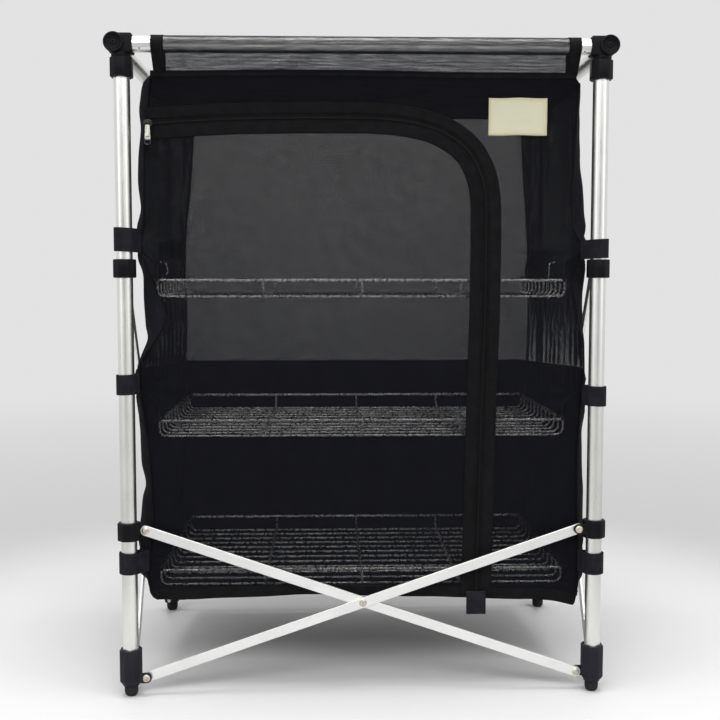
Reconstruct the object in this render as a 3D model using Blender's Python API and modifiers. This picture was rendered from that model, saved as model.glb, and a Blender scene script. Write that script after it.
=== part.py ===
"""Camp net rack: a folding aluminium frame with a zipped net cover and three wire trays.

Metres, +Z up. X runs to the right as the door is faced, -Y is the door side, and
the origin is on the floor under the middle of the rack.
"""
import math

import bmesh
import bpy
from mathutils import Matrix, Vector

# Fit between pieces
GAP = 0.0003                # between pieces that touch
SLIDE_FIT = 0.0004          # round a tube in its socket, sleeve or collar
PIN_FIT = 0.0003            # round a rivet in its hole

# Frame tubes
LEG_SPAN_X = 0.564          # leg axis to leg axis, side to side
LEG_SPAN_Y = 0.338          # leg axis to leg axis, front to back
TUBE_D = 0.019
TUBE_WALL = 0.0012
RAIL_Z = 0.7787             # axis of the four top rails
SIDE_RAIL_OUT = 0.0068      # side rails lie this far outside the leg axes

# Nylon fittings
HUB_WALL = 0.0034           # nylon round the leg
SOCKET_FLOOR = 0.0012       # nylon between neighbouring sockets
TOP_SOCKET_H = 0.0303       # leg socket below the rail block
NECK_H = 0.0045              # narrower neck between socket and rail block
NECK_IN = 0.0018
RAIL_BLOCK_WALL = 0.0014
BARREL_PAST = 0.0006        # the barrel's ends stand out of the rail block
BARREL_WALL = 0.0018        # nylon round a side rail's end
RAIL_BLOCK_REACH = 0.014    # rail block past the leg axis, along the rail
CAP_T = 0.003
CAP_STEM_D = 0.006
CAP_STEM = 0.0014
CAP_RECESS = 0.0009
FOOT_HUB_H = 0.0475
FOOT_TAPER_H = 0.0055
FOOT_TAPER_IN = 0.0035
LEG_SEAT_H = 0.0167         # leg end above the foot hub's underside
PAD_D = 0.0165
PAD_H = 0.013
PAD_STEM_D = 0.009
PAD_STEM_H = 0.006
ARCH_R = 0.030              # hollow rims of the hubs
ARCH_DEPTH = 0.0035
COLLAR_H = 0.022
COLLAR_CHAMFER = 0.0012
LUG_T = 0.0035
LUG_H = 0.0124

# Brace bars and rivets
BAR_H = 0.0122
BAR_T = 0.0032
BAR_GAP = 0.0006            # between the two bars of a pair
LUG_GAP = 0.0004            # between a bar and its lug
PIVOT_CLEAR = 0.0005        # bar end to nylon
PIN_D = 0.005
HEAD_D = 0.0092
HEAD_T = 0.0014
FOOT_PIVOT_UP = 0.0098      # pivot above the foot hub's underside
LOWER_PIVOT_Z = 0.2027
UPPER_PIVOT_Z = 0.518

# Cover
CLOTH_T = 0.0012
LEG_TO_COVER = 0.0175       # leg axis in to the side cloth
RAIL_TO_COVER = 0.003       # rail surface in to the front and back cloth
SEAM_DROP = 0.0312           # rail axis down to the header seam
SEAM_BAND_T = 0.0036        # folded band that the sleeve's ends are sewn into
SEAM_BAND_H = 0.006
SLEEVE_END_BARE = 0.0155    # rail left bare beside each block
HEM_DROP = 0.0145           # cloth below the floor panel
STRAP_H = 0.025
STRAP_T = 0.0027
STRAP_INSET = 0.012         # where a strap meets the side cloth, from the corner
STRAP_TOP_CLEAR = 0.0090    # upper collar to top strap
STRAP_LOW_CLEAR = 0.0174    # lower collar to bottom strap
LEVEL_STEP = 0.1705         # top strap to middle strap
FLOOR_DROP = 0.0345         # bottom strap's middle to the floor panel
HANGER_DROP = 0.046         # strap's middle down to the tray rim
HANGER_W = 0.016
HANGER_T = 0.0016

# Door, zip and label
ZIP_TOP_DROP = 0.0515       # header seam down to the zip's top run
ZIP_START_DROP = 0.0069     # the top run is this much lower at its left end
ZIP_R = 0.105
ZIP_RUN_IN = 0.1158         # right run of the zip in from the cover's right edge
ZIP_LEAN = 0.009            # its lower end is this much further in
ZIP_SPLIT = 0.0006
TAPE_W = 0.0185
TAPE_T = 0.0010
TAPE_FOOT_UP = 0.003
TAB_W = 0.024
TAB_HANG = 0.019
TAB_GRIP = 0.010
TAB_T = 0.0016
LABEL_W = 0.070
LABEL_H = 0.044
LABEL_T = 0.0008
LABEL_IN = 0.0789           # middle of the label in from the cover's right edge
LABEL_DROP = 0.0265         # label's top edge below the header seam
SLIDER_L = 0.0105
SLIDER_H = 0.0085
SLIDER_T = 0.003
SLIDER_IN = 0.0107          # slider's middle from the cover's left edge
BAIL_R = 0.0007
BAIL_HALF = 0.0030
BARREL_R = 0.0019
BARREL_L = 0.0026
PULL_L = 0.0195
PULL_TOP_W = 0.0036
PULL_END_W = 0.0072
PULL_T = 0.0012
RING_R = 0.0034
RING_WIRE_R = 0.0008

# Wire trays
TRAY_GAP_X = 0.0145         # side cloth to tray rim
TRAY_GAP_Y = 0.0065
TRAY_H = 0.0195             # floor wires up to the rim
RIM_WIRE_R = 0.0020
FLOOR_WIRE_R = 0.0015
CROSS_WIRE_R = 0.0016
WIRE_LIE = 0.0002           # cross wires lie this far over the floor wires
RIM_CORNER_R = 0.006
WIRE_BEND_R = 0.008
CROSS_BEND_R = 0.0045
WIRE_PITCH = 0.0258
CROSS_STEP = 0.120          # middle cross wire to the ones beside it

# Facets
TUBE_SIDES = 20
BORE_SIDES = 16
STRAP_SIDES = 12
PIN_SIDES = 8

# Derived places
LEG_X = LEG_SPAN_X / 2
LEG_Y = LEG_SPAN_Y / 2
TUBE_R = TUBE_D / 2
BORE_R = TUBE_R + SLIDE_FIT
HUB_W = 2 * (BORE_R + HUB_WALL - SLIDE_FIT)
BLOCK_H = 2 * (BORE_R + RAIL_BLOCK_WALL)
SOCKET_TOP_Z = RAIL_Z - BLOCK_H / 2
SOCKET_RIM_Z = SOCKET_TOP_Z - TOP_SOCKET_H
LEG_TOP_Z = SOCKET_TOP_Z - SOCKET_FLOOR - GAP
FOOT_HUB_Z = PAD_H + GAP
FOOT_RIM_Z = FOOT_HUB_Z + FOOT_HUB_H
LEG_FOOT_Z = FOOT_HUB_Z + LEG_SEAT_H
FOOT_PIVOT_Z = FOOT_HUB_Z + FOOT_PIVOT_UP
PIVOT_OUT = HUB_W / 2 + PIVOT_CLEAR + BAR_H / 2
BAR_OFF = (BAR_GAP + BAR_T) / 2
LUG_FACE = BAR_GAP / 2 + BAR_T + LUG_GAP
LUG_OFF = LUG_FACE + LUG_T / 2

COVER_X = LEG_X - LEG_TO_COVER
COVER_Y = LEG_Y - TUBE_R - RAIL_TO_COVER
CLOTH_H = CLOTH_T / 2
SEAM_Z = RAIL_Z - SEAM_DROP
STRAP_TOP_Z = UPPER_PIVOT_Z + COLLAR_H / 2 + STRAP_TOP_CLEAR + STRAP_H / 2
STRAP_MID_Z = STRAP_TOP_Z - LEVEL_STEP
STRAP_LOW_Z = LOWER_PIVOT_Z - COLLAR_H / 2 - STRAP_LOW_CLEAR - STRAP_H / 2
FLOOR_Z = STRAP_LOW_Z - FLOOR_DROP
HEM_Z = FLOOR_Z - HEM_DROP
SLEEVE_HALF = LEG_X - RAIL_BLOCK_REACH - SLEEVE_END_BARE

TRAY_X = COVER_X - TRAY_GAP_X - RIM_WIRE_R
TRAY_Y = COVER_Y - TRAY_GAP_Y - RIM_WIRE_R
RIM_TOP_Z = STRAP_TOP_Z - HANGER_DROP
RIM_MID_Z = STRAP_MID_Z - HANGER_DROP
RIM_LOW_Z = FLOOR_Z + CLOTH_H + GAP + FLOOR_WIRE_R + TRAY_H

ZIP_TOP_Z = SEAM_Z - ZIP_TOP_DROP
ZIP_RUN_X = COVER_X - ZIP_RUN_IN
ZIP_FOOT_X = ZIP_RUN_X - ZIP_LEAN
ZIP_BEND_X = ZIP_RUN_X - ZIP_R
ZIP_BEND_Z = ZIP_TOP_Z - ZIP_R
FRONT_FACE = -(COVER_Y + CLOTH_H)
TAPE_FACE = FRONT_FACE - GAP - TAPE_T

# The rack lives in one collection, and construction shapes in another.
for old in list(bpy.data.objects):
    bpy.data.objects.remove(old, do_unlink=True)
scene = bpy.context.scene
parts = bpy.data.collections.new("camp_net_rack")
cutters = bpy.data.collections.new("construction")
scene.collection.children.link(parts)
scene.collection.children.link(cutters)


def principled(name, colour, roughness, metallic=0.0):
    """A plain material of the part's own colour and finish."""
    material = bpy.data.materials.new(name)
    material.use_nodes = True
    shader = material.node_tree.nodes["Principled BSDF"]
    shader.inputs["Base Color"].default_value = (*colour, 1.0)
    shader.inputs["Roughness"].default_value = roughness
    shader.inputs["Metallic"].default_value = metallic
    material.diffuse_color = (*colour, 1.0)
    return material


TUBE_FINISH = principled("satin_aluminium", (0.78, 0.79, 0.80), 0.32, 1.0)
BAR_FINISH = principled("bar_aluminium", (0.80, 0.80, 0.80), 0.38, 1.0)
RIVET_FINISH = principled("nickel_rivet", (0.62, 0.58, 0.50), 0.35, 1.0)
NYLON = principled("black_nylon", (0.020, 0.020, 0.022), 0.45)
RUBBER = principled("black_rubber", (0.016, 0.016, 0.016), 0.80)
NET = principled("black_net", (0.035, 0.035, 0.040), 0.90)
CLOTH = principled("black_cloth", (0.014, 0.014, 0.018), 0.90)
WEBBING = principled("black_webbing", (0.018, 0.018, 0.020), 0.85)
STEEL = principled("bright_wire", (0.55, 0.55, 0.56), 0.25, 1.0)
ZIP_METAL = principled("zip_metal", (0.45, 0.45, 0.46), 0.35, 1.0)
PATCH = principled("cream_patch", (0.74, 0.69, 0.57), 0.85)


def construction(mesh, name="shape"):
    """Put a mesh in the construction collection as a hidden wire shape."""
    ob = bpy.data.objects.new(name, mesh)
    ob.hide_render = True
    ob.display_type = 'WIRE'
    cutters.objects.link(ob)
    return ob


def evaluated(ob):
    """The object's mesh with its modifiers, in world space, as a new construction object."""
    bpy.context.view_layer.update()
    graph = bpy.context.evaluated_depsgraph_get()
    mesh = bpy.data.meshes.new_from_object(ob.evaluated_get(graph))
    bm = bmesh.new()
    bm.from_mesh(mesh)
    bmesh.ops.remove_doubles(bm, verts=bm.verts, dist=2e-6)
    bmesh.ops.recalc_face_normals(bm, faces=bm.faces)
    bmesh.ops.transform(bm, matrix=ob.matrix_world, verts=bm.verts)
    bm.to_mesh(mesh)
    bm.free()
    bpy.data.objects.remove(ob, do_unlink=True)
    return construction(mesh)


def box(low, high):
    """A box between two corners."""
    low, high = Vector(low), Vector(high)
    bm = bmesh.new()
    place = Matrix.Translation((low + high) / 2) @ Matrix.Diagonal((*(high - low), 1.0))
    bmesh.ops.create_cube(bm, size=1.0, matrix=place)
    mesh = bpy.data.meshes.new("box")
    bm.to_mesh(mesh)
    bm.free()
    return construction(mesh)


def rod(start, end, radius, sides=16, end_radius=None, turn=0.0):
    """A cylinder or cone frustum from one point to another."""
    start, end = Vector(start), Vector(end)
    along = end - start
    place = Matrix.Translation((start + end) / 2) @ along.to_track_quat('Z', 'Y').to_matrix().to_4x4()
    place = place @ Matrix.Rotation(turn, 4, 'Z')
    bm = bmesh.new()
    bmesh.ops.create_cone(bm, cap_ends=True, segments=sides, radius1=radius,
                          radius2=radius if end_radius is None else end_radius,
                          depth=along.length, matrix=place)
    mesh = bpy.data.meshes.new("rod")
    bm.to_mesh(mesh)
    bm.free()
    return construction(mesh)


def turned(profile, sides, closed=False):
    """Spin an (r, z) profile about Z; it runs down its outer side, top to bottom."""
    mesh = bpy.data.meshes.new("profile")
    count = len(profile)
    edges = [(i, i + 1) for i in range(count - 1)]
    if closed:
        edges.append((count - 1, 0))
    mesh.from_pydata([(r, 0.0, z) for r, z in profile], edges, [])
    ob = construction(mesh)
    screw = ob.modifiers.new("spin", 'SCREW')
    screw.steps = sides
    screw.render_steps = sides
    screw.use_merge_vertices = True
    screw.merge_threshold = 1e-6
    return evaluated(ob)


def plate(loops, half, facing='Z'):
    """Flat outlines, with any holes, filled and given thickness; facing is their normal."""
    curve = bpy.data.curves.new("outline", 'CURVE')
    curve.dimensions = '2D'
    curve.fill_mode = 'BOTH'
    curve.extrude = half
    for loop in loops:
        spline = curve.splines.new('POLY')
        spline.points.add(len(loop) - 1)
        spline.use_cyclic_u = True
        for point, (u, v) in zip(spline.points, loop):
            point.co = (u, v, 0.0, 1.0)
    ob = bpy.data.objects.new("outline", curve)
    cutters.objects.link(ob)
    if facing == 'Y':        # outline is (x, z)
        ob.matrix_world = Matrix.Rotation(math.pi / 2, 4, 'X')
    elif facing == 'X':      # outline is (y, z)
        ob.matrix_world = Matrix.Rotation(math.pi / 2, 4, 'Z') @ Matrix.Rotation(math.pi / 2, 4, 'X')
    return evaluated(ob)


def wire(points, radius, closed=False, sides=6):
    """A round wire along straight runs between points."""
    curve = bpy.data.curves.new("wire", 'CURVE')
    curve.dimensions = '3D'
    curve.bevel_depth = radius
    curve.bevel_resolution = (sides - 4) // 2
    curve.use_fill_caps = True
    spline = curve.splines.new('POLY')
    spline.points.add(len(points) - 1)
    spline.use_cyclic_u = closed
    for point, co in zip(spline.points, points):
        point.co = (*co, 1.0)
    ob = bpy.data.objects.new("wire", curve)
    cutters.objects.link(ob)
    return evaluated(ob)


def join(shapes):
    """Several shapes that don't meet, as one construction mesh."""
    bm = bmesh.new()
    for ob in shapes:
        bm.from_mesh(ob.data)
        bpy.data.objects.remove(ob, do_unlink=True)
    mesh = bpy.data.meshes.new("joined")
    bm.to_mesh(mesh)
    bm.free()
    return construction(mesh)


def shaped(base, add=(), cut=()):
    """Unite shapes with the base, then cut others out of it."""
    operands = [(ob, 'UNION') for ob in add] + [(ob, 'DIFFERENCE') for ob in cut]
    for number, (ob, operation) in enumerate(operands):
        modifier = base.modifiers.new(f"step_{number}", 'BOOLEAN')
        modifier.operation = operation
        modifier.solver = 'EXACT'
        modifier.object = ob
    done = evaluated(base)
    for ob, _ in operands:
        bpy.data.objects.remove(ob, do_unlink=True)
    return done


def moved(ob, offset=(0, 0, 0), turn=0.0, mirror=(1, 1, 1)):
    """A copy of a shape, mirrored, turned about Z, then moved."""
    bm = bmesh.new()
    bm.from_mesh(ob.data)
    place = Matrix.Translation(offset) @ Matrix.Rotation(turn, 4, 'Z') @ Matrix.Diagonal((*mirror, 1))
    bmesh.ops.transform(bm, matrix=place, verts=bm.verts)
    if mirror[0] * mirror[1] * mirror[2] < 0:
        bmesh.ops.reverse_faces(bm, faces=bm.faces)
    mesh = bpy.data.meshes.new("copy")
    bm.to_mesh(mesh)
    bm.free()
    return construction(mesh)


def piece(name, shape, finish, origin=(0, 0, 0), turn=0.0, smooth=35, keep=False):
    """Hand a finished shape over as a named piece, with its origin where it is set."""
    mesh = shape.data.copy() if keep else shape.data
    if not keep:
        bpy.data.objects.remove(shape, do_unlink=True)
    mesh.name = name
    mesh.materials.clear()
    mesh.materials.append(finish)
    mesh.shade_smooth()
    mesh.set_sharp_from_angle(angle=math.radians(smooth))
    ob = bpy.data.objects.new(name, mesh)
    ob.location = origin
    ob.rotation_euler = (0, 0, turn)
    parts.objects.link(ob)
    return ob


def corner_name(sx, sy):
    """The end of a node's name for one corner of the rack."""
    return ("front" if sy < 0 else "back") + ("_left" if sx < 0 else "_right")


CORNERS = [(-1, -1), (1, -1), (1, 1), (-1, 1)]
# Foot hubs are one moulding, turned a quarter at each corner round the rack.
HUB_TURN = {(-1, -1): 0.0, (1, -1): math.pi / 2, (1, 1): math.pi, (-1, 1): -math.pi / 2}


def octagon(width, low_z, high_z, low_width=None):
    """An upright eight-sided prism or taper about Z, with flats facing X and Y."""
    spread = 2 * math.cos(math.pi / 8)
    low = (width if low_width is None else low_width) / spread
    return rod((0, 0, low_z), (0, 0, high_z), low, sides=8, end_radius=width / spread,
               turn=math.pi / 8)


def clear_of(radius, sides):
    """Radius of a faceted bore whose flats still clear a round of this radius."""
    return radius / math.cos(math.pi / sides)


def circle(u, v, radius, sides, start=0.0, sweep=2 * math.pi):
    """Points round a circle, or along an arc when the sweep is shorter."""
    full = abs(sweep) > 2 * math.pi - 1e-9
    steps = sides if full else sides + 1
    return [(u + radius * math.cos(start + sweep * i / sides),
             v + radius * math.sin(start + sweep * i / sides)) for i in range(steps)]


def ribbon(path, thickness):
    """Outline of a flat strip that follows a path in its own plane."""
    left, right = [], []
    for i, (u, v) in enumerate(path):
        before = path[max(i - 1, 0)]
        after = path[min(i + 1, len(path) - 1)]
        normals = []
        for a, b in ((before, (u, v)), ((u, v), after)):
            length = math.hypot(b[0] - a[0], b[1] - a[1])
            if length > 0:
                normals.append(Vector((-(b[1] - a[1]) / length, (b[0] - a[0]) / length)))
        mitre = sum(normals, Vector((0, 0))).normalized()
        mitre = mitre * (thickness / 2 / max(mitre.dot(normals[0]), 0.3))
        left.append((u + mitre.x, v + mitre.y))
        right.append((u - mitre.x, v - mitre.y))
    return left + right[::-1]


# Legs and top rails: aluminium tubes
def tube(length):
    """A hollow tube about Z from z = 0 upwards."""
    inner = TUBE_R - TUBE_WALL
    return turned([(TUBE_R, length), (TUBE_R, 0.0), (inner, 0.0), (inner, length)], TUBE_SIDES, closed=True)


leg = tube(LEG_TOP_Z - LEG_FOOT_Z)
for sx, sy in CORNERS:
    piece(f"leg_{corner_name(sx, sy)}", leg, TUBE_FINISH,
          (sx * LEG_X, sy * LEG_Y, LEG_FOOT_Z), keep=True)

# The side rails' sockets are the outer ones, so the front rail stops short of them.
SIDE_RAIL_X = LEG_X + SIDE_RAIL_OUT
FRONT_RAIL_END = SIDE_RAIL_X - BORE_R - SOCKET_FLOOR - GAP
CAP_SEAT = BLOCK_H / 2 + BARREL_PAST
STEM_POCKET = CAP_STEM + GAP
SIDE_RAIL_END = LEG_Y + CAP_SEAT - STEM_POCKET - SOCKET_FLOOR - GAP
for label, sy in (("front", -1), ("back", 1)):
    rail = moved(tube(2 * FRONT_RAIL_END), offset=(0, 0, -FRONT_RAIL_END))
    rail.matrix_world = Matrix.Rotation(math.pi / 2, 4, 'Y')
    piece(f"rail_{label}", evaluated(rail), TUBE_FINISH, (0, sy * LEG_Y, RAIL_Z))
for label, sx in (("left", -1), ("right", 1)):
    rail = moved(tube(2 * SIDE_RAIL_END), offset=(0, 0, -SIDE_RAIL_END))
    rail.matrix_world = Matrix.Rotation(math.pi / 2, 4, 'X')
    piece(f"rail_{label}", evaluated(rail), TUBE_FINISH, (sx * SIDE_RAIL_X, 0, RAIL_Z))

# Top hubs: leg socket below, front rail block, and the side rail's barrel with its cap
# Modelled for the front left corner about its leg axis; the others are mirrored.
BARREL_OUT_R = BORE_R + BARREL_WALL
outer_x = -SIDE_RAIL_OUT
socket = octagon(HUB_W, SOCKET_RIM_Z, SOCKET_TOP_Z - NECK_H)
neck = octagon(HUB_W - 2 * NECK_IN, SOCKET_TOP_Z - NECK_H - GAP, SOCKET_TOP_Z + GAP)
block = box((outer_x, -BLOCK_H / 2, RAIL_Z - BLOCK_H / 2),
            (RAIL_BLOCK_REACH, BLOCK_H / 2, RAIL_Z + BLOCK_H / 2))
barrel = rod((outer_x, -CAP_SEAT, RAIL_Z), (outer_x, CAP_SEAT, RAIL_Z), BARREL_OUT_R, TUBE_SIDES)
leg_bore = rod((0, 0, SOCKET_RIM_Z - 0.01), (0, 0, LEG_TOP_Z + GAP), clear_of(BORE_R, BORE_SIDES), BORE_SIDES)
front_bore = rod((outer_x + BORE_R + SOCKET_FLOOR, 0, RAIL_Z), (RAIL_BLOCK_REACH + 0.01, 0, RAIL_Z),
                 clear_of(BORE_R, BORE_SIDES), BORE_SIDES)
side_bore = rod((outer_x, LEG_Y - SIDE_RAIL_END - GAP, RAIL_Z), (outer_x, BLOCK_H / 2 + 0.01, RAIL_Z),
                BORE_R, TUBE_SIDES)
cap_bore = rod((outer_x, -CAP_SEAT - 0.01, RAIL_Z), (outer_x, -CAP_SEAT + STEM_POCKET, RAIL_Z),
               CAP_STEM_D / 2 + PIN_FIT, 12)
ARCH_REACH = HUB_W


def arches(rim_z, up):
    """Two crossing cylinders that hollow a rim, leaving its four corners long."""
    centre = rim_z + up * (ARCH_R - ARCH_DEPTH)
    return [rod((0, -ARCH_REACH, centre), (0, ARCH_REACH, centre), ARCH_R, 40),
            rod((-ARCH_REACH, 0, centre), (ARCH_REACH, 0, centre), ARCH_R, 40)]


top_hub = shaped(socket, add=[neck, block, barrel],
                 cut=[leg_bore, front_bore, side_bore, cap_bore] + arches(SOCKET_RIM_Z, -1))
cap = turned([(0.0, CAP_T - CAP_RECESS), (BARREL_OUT_R * 0.62, CAP_T - CAP_RECESS),
              (BARREL_OUT_R * 0.70, CAP_T), (BARREL_OUT_R - 0.0010, CAP_T),
              (BARREL_OUT_R, CAP_T - 0.0010), (BARREL_OUT_R, 0.0),
              (CAP_STEM_D / 2, 0.0), (CAP_STEM_D / 2, -CAP_STEM), (0.0, -CAP_STEM)], 16)
for sx, sy in CORNERS:
    corner = corner_name(sx, sy)
    hub = moved(top_hub, mirror=(-sx, -sy, 1))
    piece(f"top_hub_{corner}", hub, NYLON, (sx * LEG_X, sy * LEG_Y, 0))
    disc = moved(cap)
    disc.matrix_world = Matrix.Rotation(math.pi / 2 if sy < 0 else -math.pi / 2, 4, 'X')
    piece(f"hub_cap_{corner}", evaluated(disc), NYLON,
          (sx * SIDE_RAIL_X, sy * (LEG_Y + CAP_SEAT + GAP), RAIL_Z))

# Foot hubs, each with one lug on the outer side and one on the inner side


def lug(pivot_z, side):
    """A lug towards +X whose plate stands on one side of the leg's middle plane."""
    root = HUB_W / 2 - HUB_WALL
    half = LUG_H / 2
    outline = [(root, pivot_z - half)]
    outline += circle(PIVOT_OUT, pivot_z, half, 6, -math.pi / 2, math.pi)
    outline += [(root, pivot_z + half)]
    hole = circle(PIVOT_OUT, pivot_z, clear_of(PIN_D / 2 + PIN_FIT, PIN_SIDES), PIN_SIDES)
    return moved(plate([outline, hole], LUG_T / 2, 'Y'), offset=(0, side * LUG_OFF, 0))


def quarter_turned(shape):
    """The same shape a quarter turn on, from +X to +Y."""
    turned_shape = moved(shape, turn=math.pi / 2)
    bpy.data.objects.remove(shape, do_unlink=True)
    return turned_shape


taper_top = FOOT_HUB_Z + FOOT_TAPER_H
foot_body = octagon(HUB_W, taper_top, FOOT_RIM_Z)
foot_taper = octagon(HUB_W, FOOT_HUB_Z, taper_top + GAP, low_width=HUB_W - 2 * FOOT_TAPER_IN)
foot_hub = shaped(
    foot_body,
    add=[foot_taper, lug(FOOT_PIVOT_Z, -1), quarter_turned(lug(FOOT_PIVOT_Z, -1))],
    cut=[rod((0, 0, LEG_FOOT_Z - GAP), (0, 0, FOOT_RIM_Z + 0.01), clear_of(BORE_R, BORE_SIDES), BORE_SIDES),
         rod((0, 0, FOOT_HUB_Z - 0.01), (0, 0, FOOT_HUB_Z + PAD_STEM_H + GAP), PAD_STEM_D / 2 + PIN_FIT, 12)]
    + arches(FOOT_RIM_Z, 1))
pad_r = PAD_D / 2
pad = turned([(0.0, PAD_H + PAD_STEM_H), (PAD_STEM_D / 2, PAD_H + PAD_STEM_H), (PAD_STEM_D / 2, PAD_H),
              (pad_r, PAD_H), (pad_r, 0.0042), (pad_r - 0.0012, 0.0013), (pad_r - 0.0038, 0.0),
              (0.0, 0.0)], 16)
for sx, sy in CORNERS:
    corner = corner_name(sx, sy)
    piece(f"foot_hub_{corner}", foot_hub, NYLON, (sx * LEG_X, sy * LEG_Y, 0), HUB_TURN[(sx, sy)], keep=True)
    piece(f"foot_pad_{corner}", pad, RUBBER, (sx * LEG_X, sy * LEG_Y, 0), keep=True)

# Sliding collars: the lower ones hold the front and back braces, the upper ones the side braces
collar_body = octagon(HUB_W, -COLLAR_H / 2, COLLAR_H / 2)
rounding = collar_body.modifiers.new("rim", 'BEVEL')
rounding.width = COLLAR_CHAMFER
rounding.segments = 1
rounding.limit_method = 'ANGLE'
rounding.angle_limit = math.radians(60)
collar = shaped(evaluated(collar_body), add=[lug(0.0, 1)],
                cut=[rod((0, 0, -COLLAR_H), (0, 0, COLLAR_H), clear_of(BORE_R, BORE_SIDES), BORE_SIDES)])
for sx, sy in CORNERS:
    corner = corner_name(sx, sy)
    piece(f"lower_collar_{corner}", collar, NYLON, (sx * LEG_X, sy * LEG_Y, LOWER_PIVOT_Z),
          0.0 if sx < 0 else math.pi, keep=True)
    piece(f"upper_collar_{corner}", collar, NYLON, (sx * LEG_X, sy * LEG_Y, UPPER_PIVOT_Z),
          math.pi / 2 if sy < 0 else -math.pi / 2, keep=True)

# Brace bars: flat bars riveted to the lugs, crossing at a rivet in the middle


def brace_bar(length, side):
    """A bar along X through z = 0, its rivets towards the lug on the given side."""
    half = length / 2
    outline = circle(half, 0, BAR_H / 2, 6, -math.pi / 2, math.pi)
    outline += circle(-half, 0, BAR_H / 2, 6, math.pi / 2, math.pi)
    middle = circle(0, 0, clear_of(PIN_D / 2 + PIN_FIT, PIN_SIDES), PIN_SIDES)
    bar = moved(plate([outline, middle], BAR_T / 2, 'Y'), offset=(0, side * BAR_OFF, 0))
    near = side * (BAR_GAP / 2)
    far = side * (LUG_FACE + LUG_T)
    rivets = []
    for x in (-half, half):
        shank = rod((x, near - side * HEAD_T * 0.5, 0), (x, far + side * (GAP + HEAD_T * 0.5), 0),
                    PIN_D / 2, PIN_SIDES)
        inner_head = rod((x, near + side * BAR_T * 0.5, 0), (x, near - side * HEAD_T, 0), HEAD_D / 2, 10,
                         end_radius=HEAD_D / 2 * 0.8)
        outer_head = rod((x, far + side * GAP, 0), (x, far + side * (GAP + HEAD_T), 0), HEAD_D / 2, 10,
                         end_radius=HEAD_D / 2 * 0.8)
        rivets += [shank, inner_head, outer_head]
    return shaped(bar, add=rivets)


def brace_pair(name, run, foot_z, top_z, centre, across, finish):
    """Two crossing bars and their middle rivet, in a plane across the rack or along its side."""
    rise = top_z - foot_z
    length = math.hypot(run, rise)
    slope = math.atan2(rise, run)
    middle = (centre[0], centre[1], (foot_z + top_z) / 2)
    turn = Matrix.Rotation(math.pi / 2, 4, 'Z') if across else Matrix.Identity(4)
    for suffix, side, tilt in (("rising", -1, -slope), ("falling", 1, slope)):
        bar = brace_bar(length, side)
        bar.matrix_world = turn @ Matrix.Rotation(tilt, 4, 'Y')
        piece(f"brace_{name}_{suffix}", evaluated(bar), finish, middle)
    reach = BAR_GAP / 2 + BAR_T + GAP
    pin = rod((0, -reach - HEAD_T * 0.5, 0), (0, reach + HEAD_T * 0.5, 0), PIN_D / 2, PIN_SIDES)
    heads = [rod((0, s * reach, 0), (0, s * (reach + HEAD_T), 0), HEAD_D / 2, 12,
                 end_radius=HEAD_D / 2 * 0.8) for s in (-1, 1)]
    pin = shaped(pin, add=heads)
    pin.matrix_world = turn
    piece(f"brace_rivet_{name}", evaluated(pin), RIVET_FINISH, middle)


SPAN_X = 2 * (LEG_X - PIVOT_OUT)
SPAN_Y = 2 * (LEG_Y - PIVOT_OUT)
brace_pair("front", SPAN_X, FOOT_PIVOT_Z, LOWER_PIVOT_Z, (0, -LEG_Y), False, BAR_FINISH)
brace_pair("back", SPAN_X, FOOT_PIVOT_Z, LOWER_PIVOT_Z, (0, LEG_Y), False, BAR_FINISH)
brace_pair("left", SPAN_Y, FOOT_PIVOT_Z, UPPER_PIVOT_Z, (-LEG_X, 0), True, BAR_FINISH)
brace_pair("right", SPAN_Y, FOOT_PIVOT_Z, UPPER_PIVOT_Z, (LEG_X, 0), True, BAR_FINISH)

# Wire trays: a rim, floor wires bent up to it, and three cross wires over them
first_wire = TRAY_Y - RIM_CORNER_R
wire_count = int(round(2 * first_wire / WIRE_PITCH)) + 1
wire_ys = [-first_wire + 2 * first_wire * i / (wire_count - 1) for i in range(wire_count)]


def bent_up(half_run, floor_z, rim_z, bend):
    """Path of a wire that runs flat and turns up at both ends, as (u, z) points."""
    left = circle(-half_run + bend, floor_z + bend, bend, 2, math.pi, math.pi / 2)
    right = circle(half_run - bend, floor_z + bend, bend, 2, -math.pi / 2, math.pi / 2)
    return [(-half_run, rim_z)] + left + right + [(half_run, rim_z)]


rim_path = []
for cx, cy, start in ((1, 1, 0.0), (-1, 1, 0.5), (-1, -1, 1.0), (1, -1, 1.5)):
    rim_path += circle(cx * (TRAY_X - RIM_CORNER_R), cy * (TRAY_Y - RIM_CORNER_R), RIM_CORNER_R, 2,
                       start * math.pi, math.pi / 2)
tray_rim = wire([(x, y, TRAY_H) for x, y in rim_path], RIM_WIRE_R, closed=True)
floor_path = bent_up(TRAY_X, 0.0, TRAY_H, WIRE_BEND_R)
floor_wires = join([wire([(u, y, z) for u, z in floor_path], FLOOR_WIRE_R) for y in wire_ys])
cross_z = FLOOR_WIRE_R + CROSS_WIRE_R + WIRE_LIE
cross_path = bent_up(TRAY_Y, cross_z, TRAY_H, CROSS_BEND_R)
cross_wires = join([wire([(x, u, z) for u, z in cross_path], CROSS_WIRE_R)
                    for x in (-CROSS_STEP, 0.0, CROSS_STEP)])
tray = shaped(tray_rim, add=[floor_wires, cross_wires])
for name, rim_z in (("tray_top", RIM_TOP_Z), ("tray_middle", RIM_MID_Z), ("tray_bottom", RIM_LOW_Z)):
    piece(name, tray, STEEL, (0, 0, rim_z - TRAY_H), keep=True)

# Cover: front and back panels hang from sleeves round their rails
edge = COVER_X + CLOTH_H
inner = COVER_X - CLOTH_H - GAP


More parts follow.
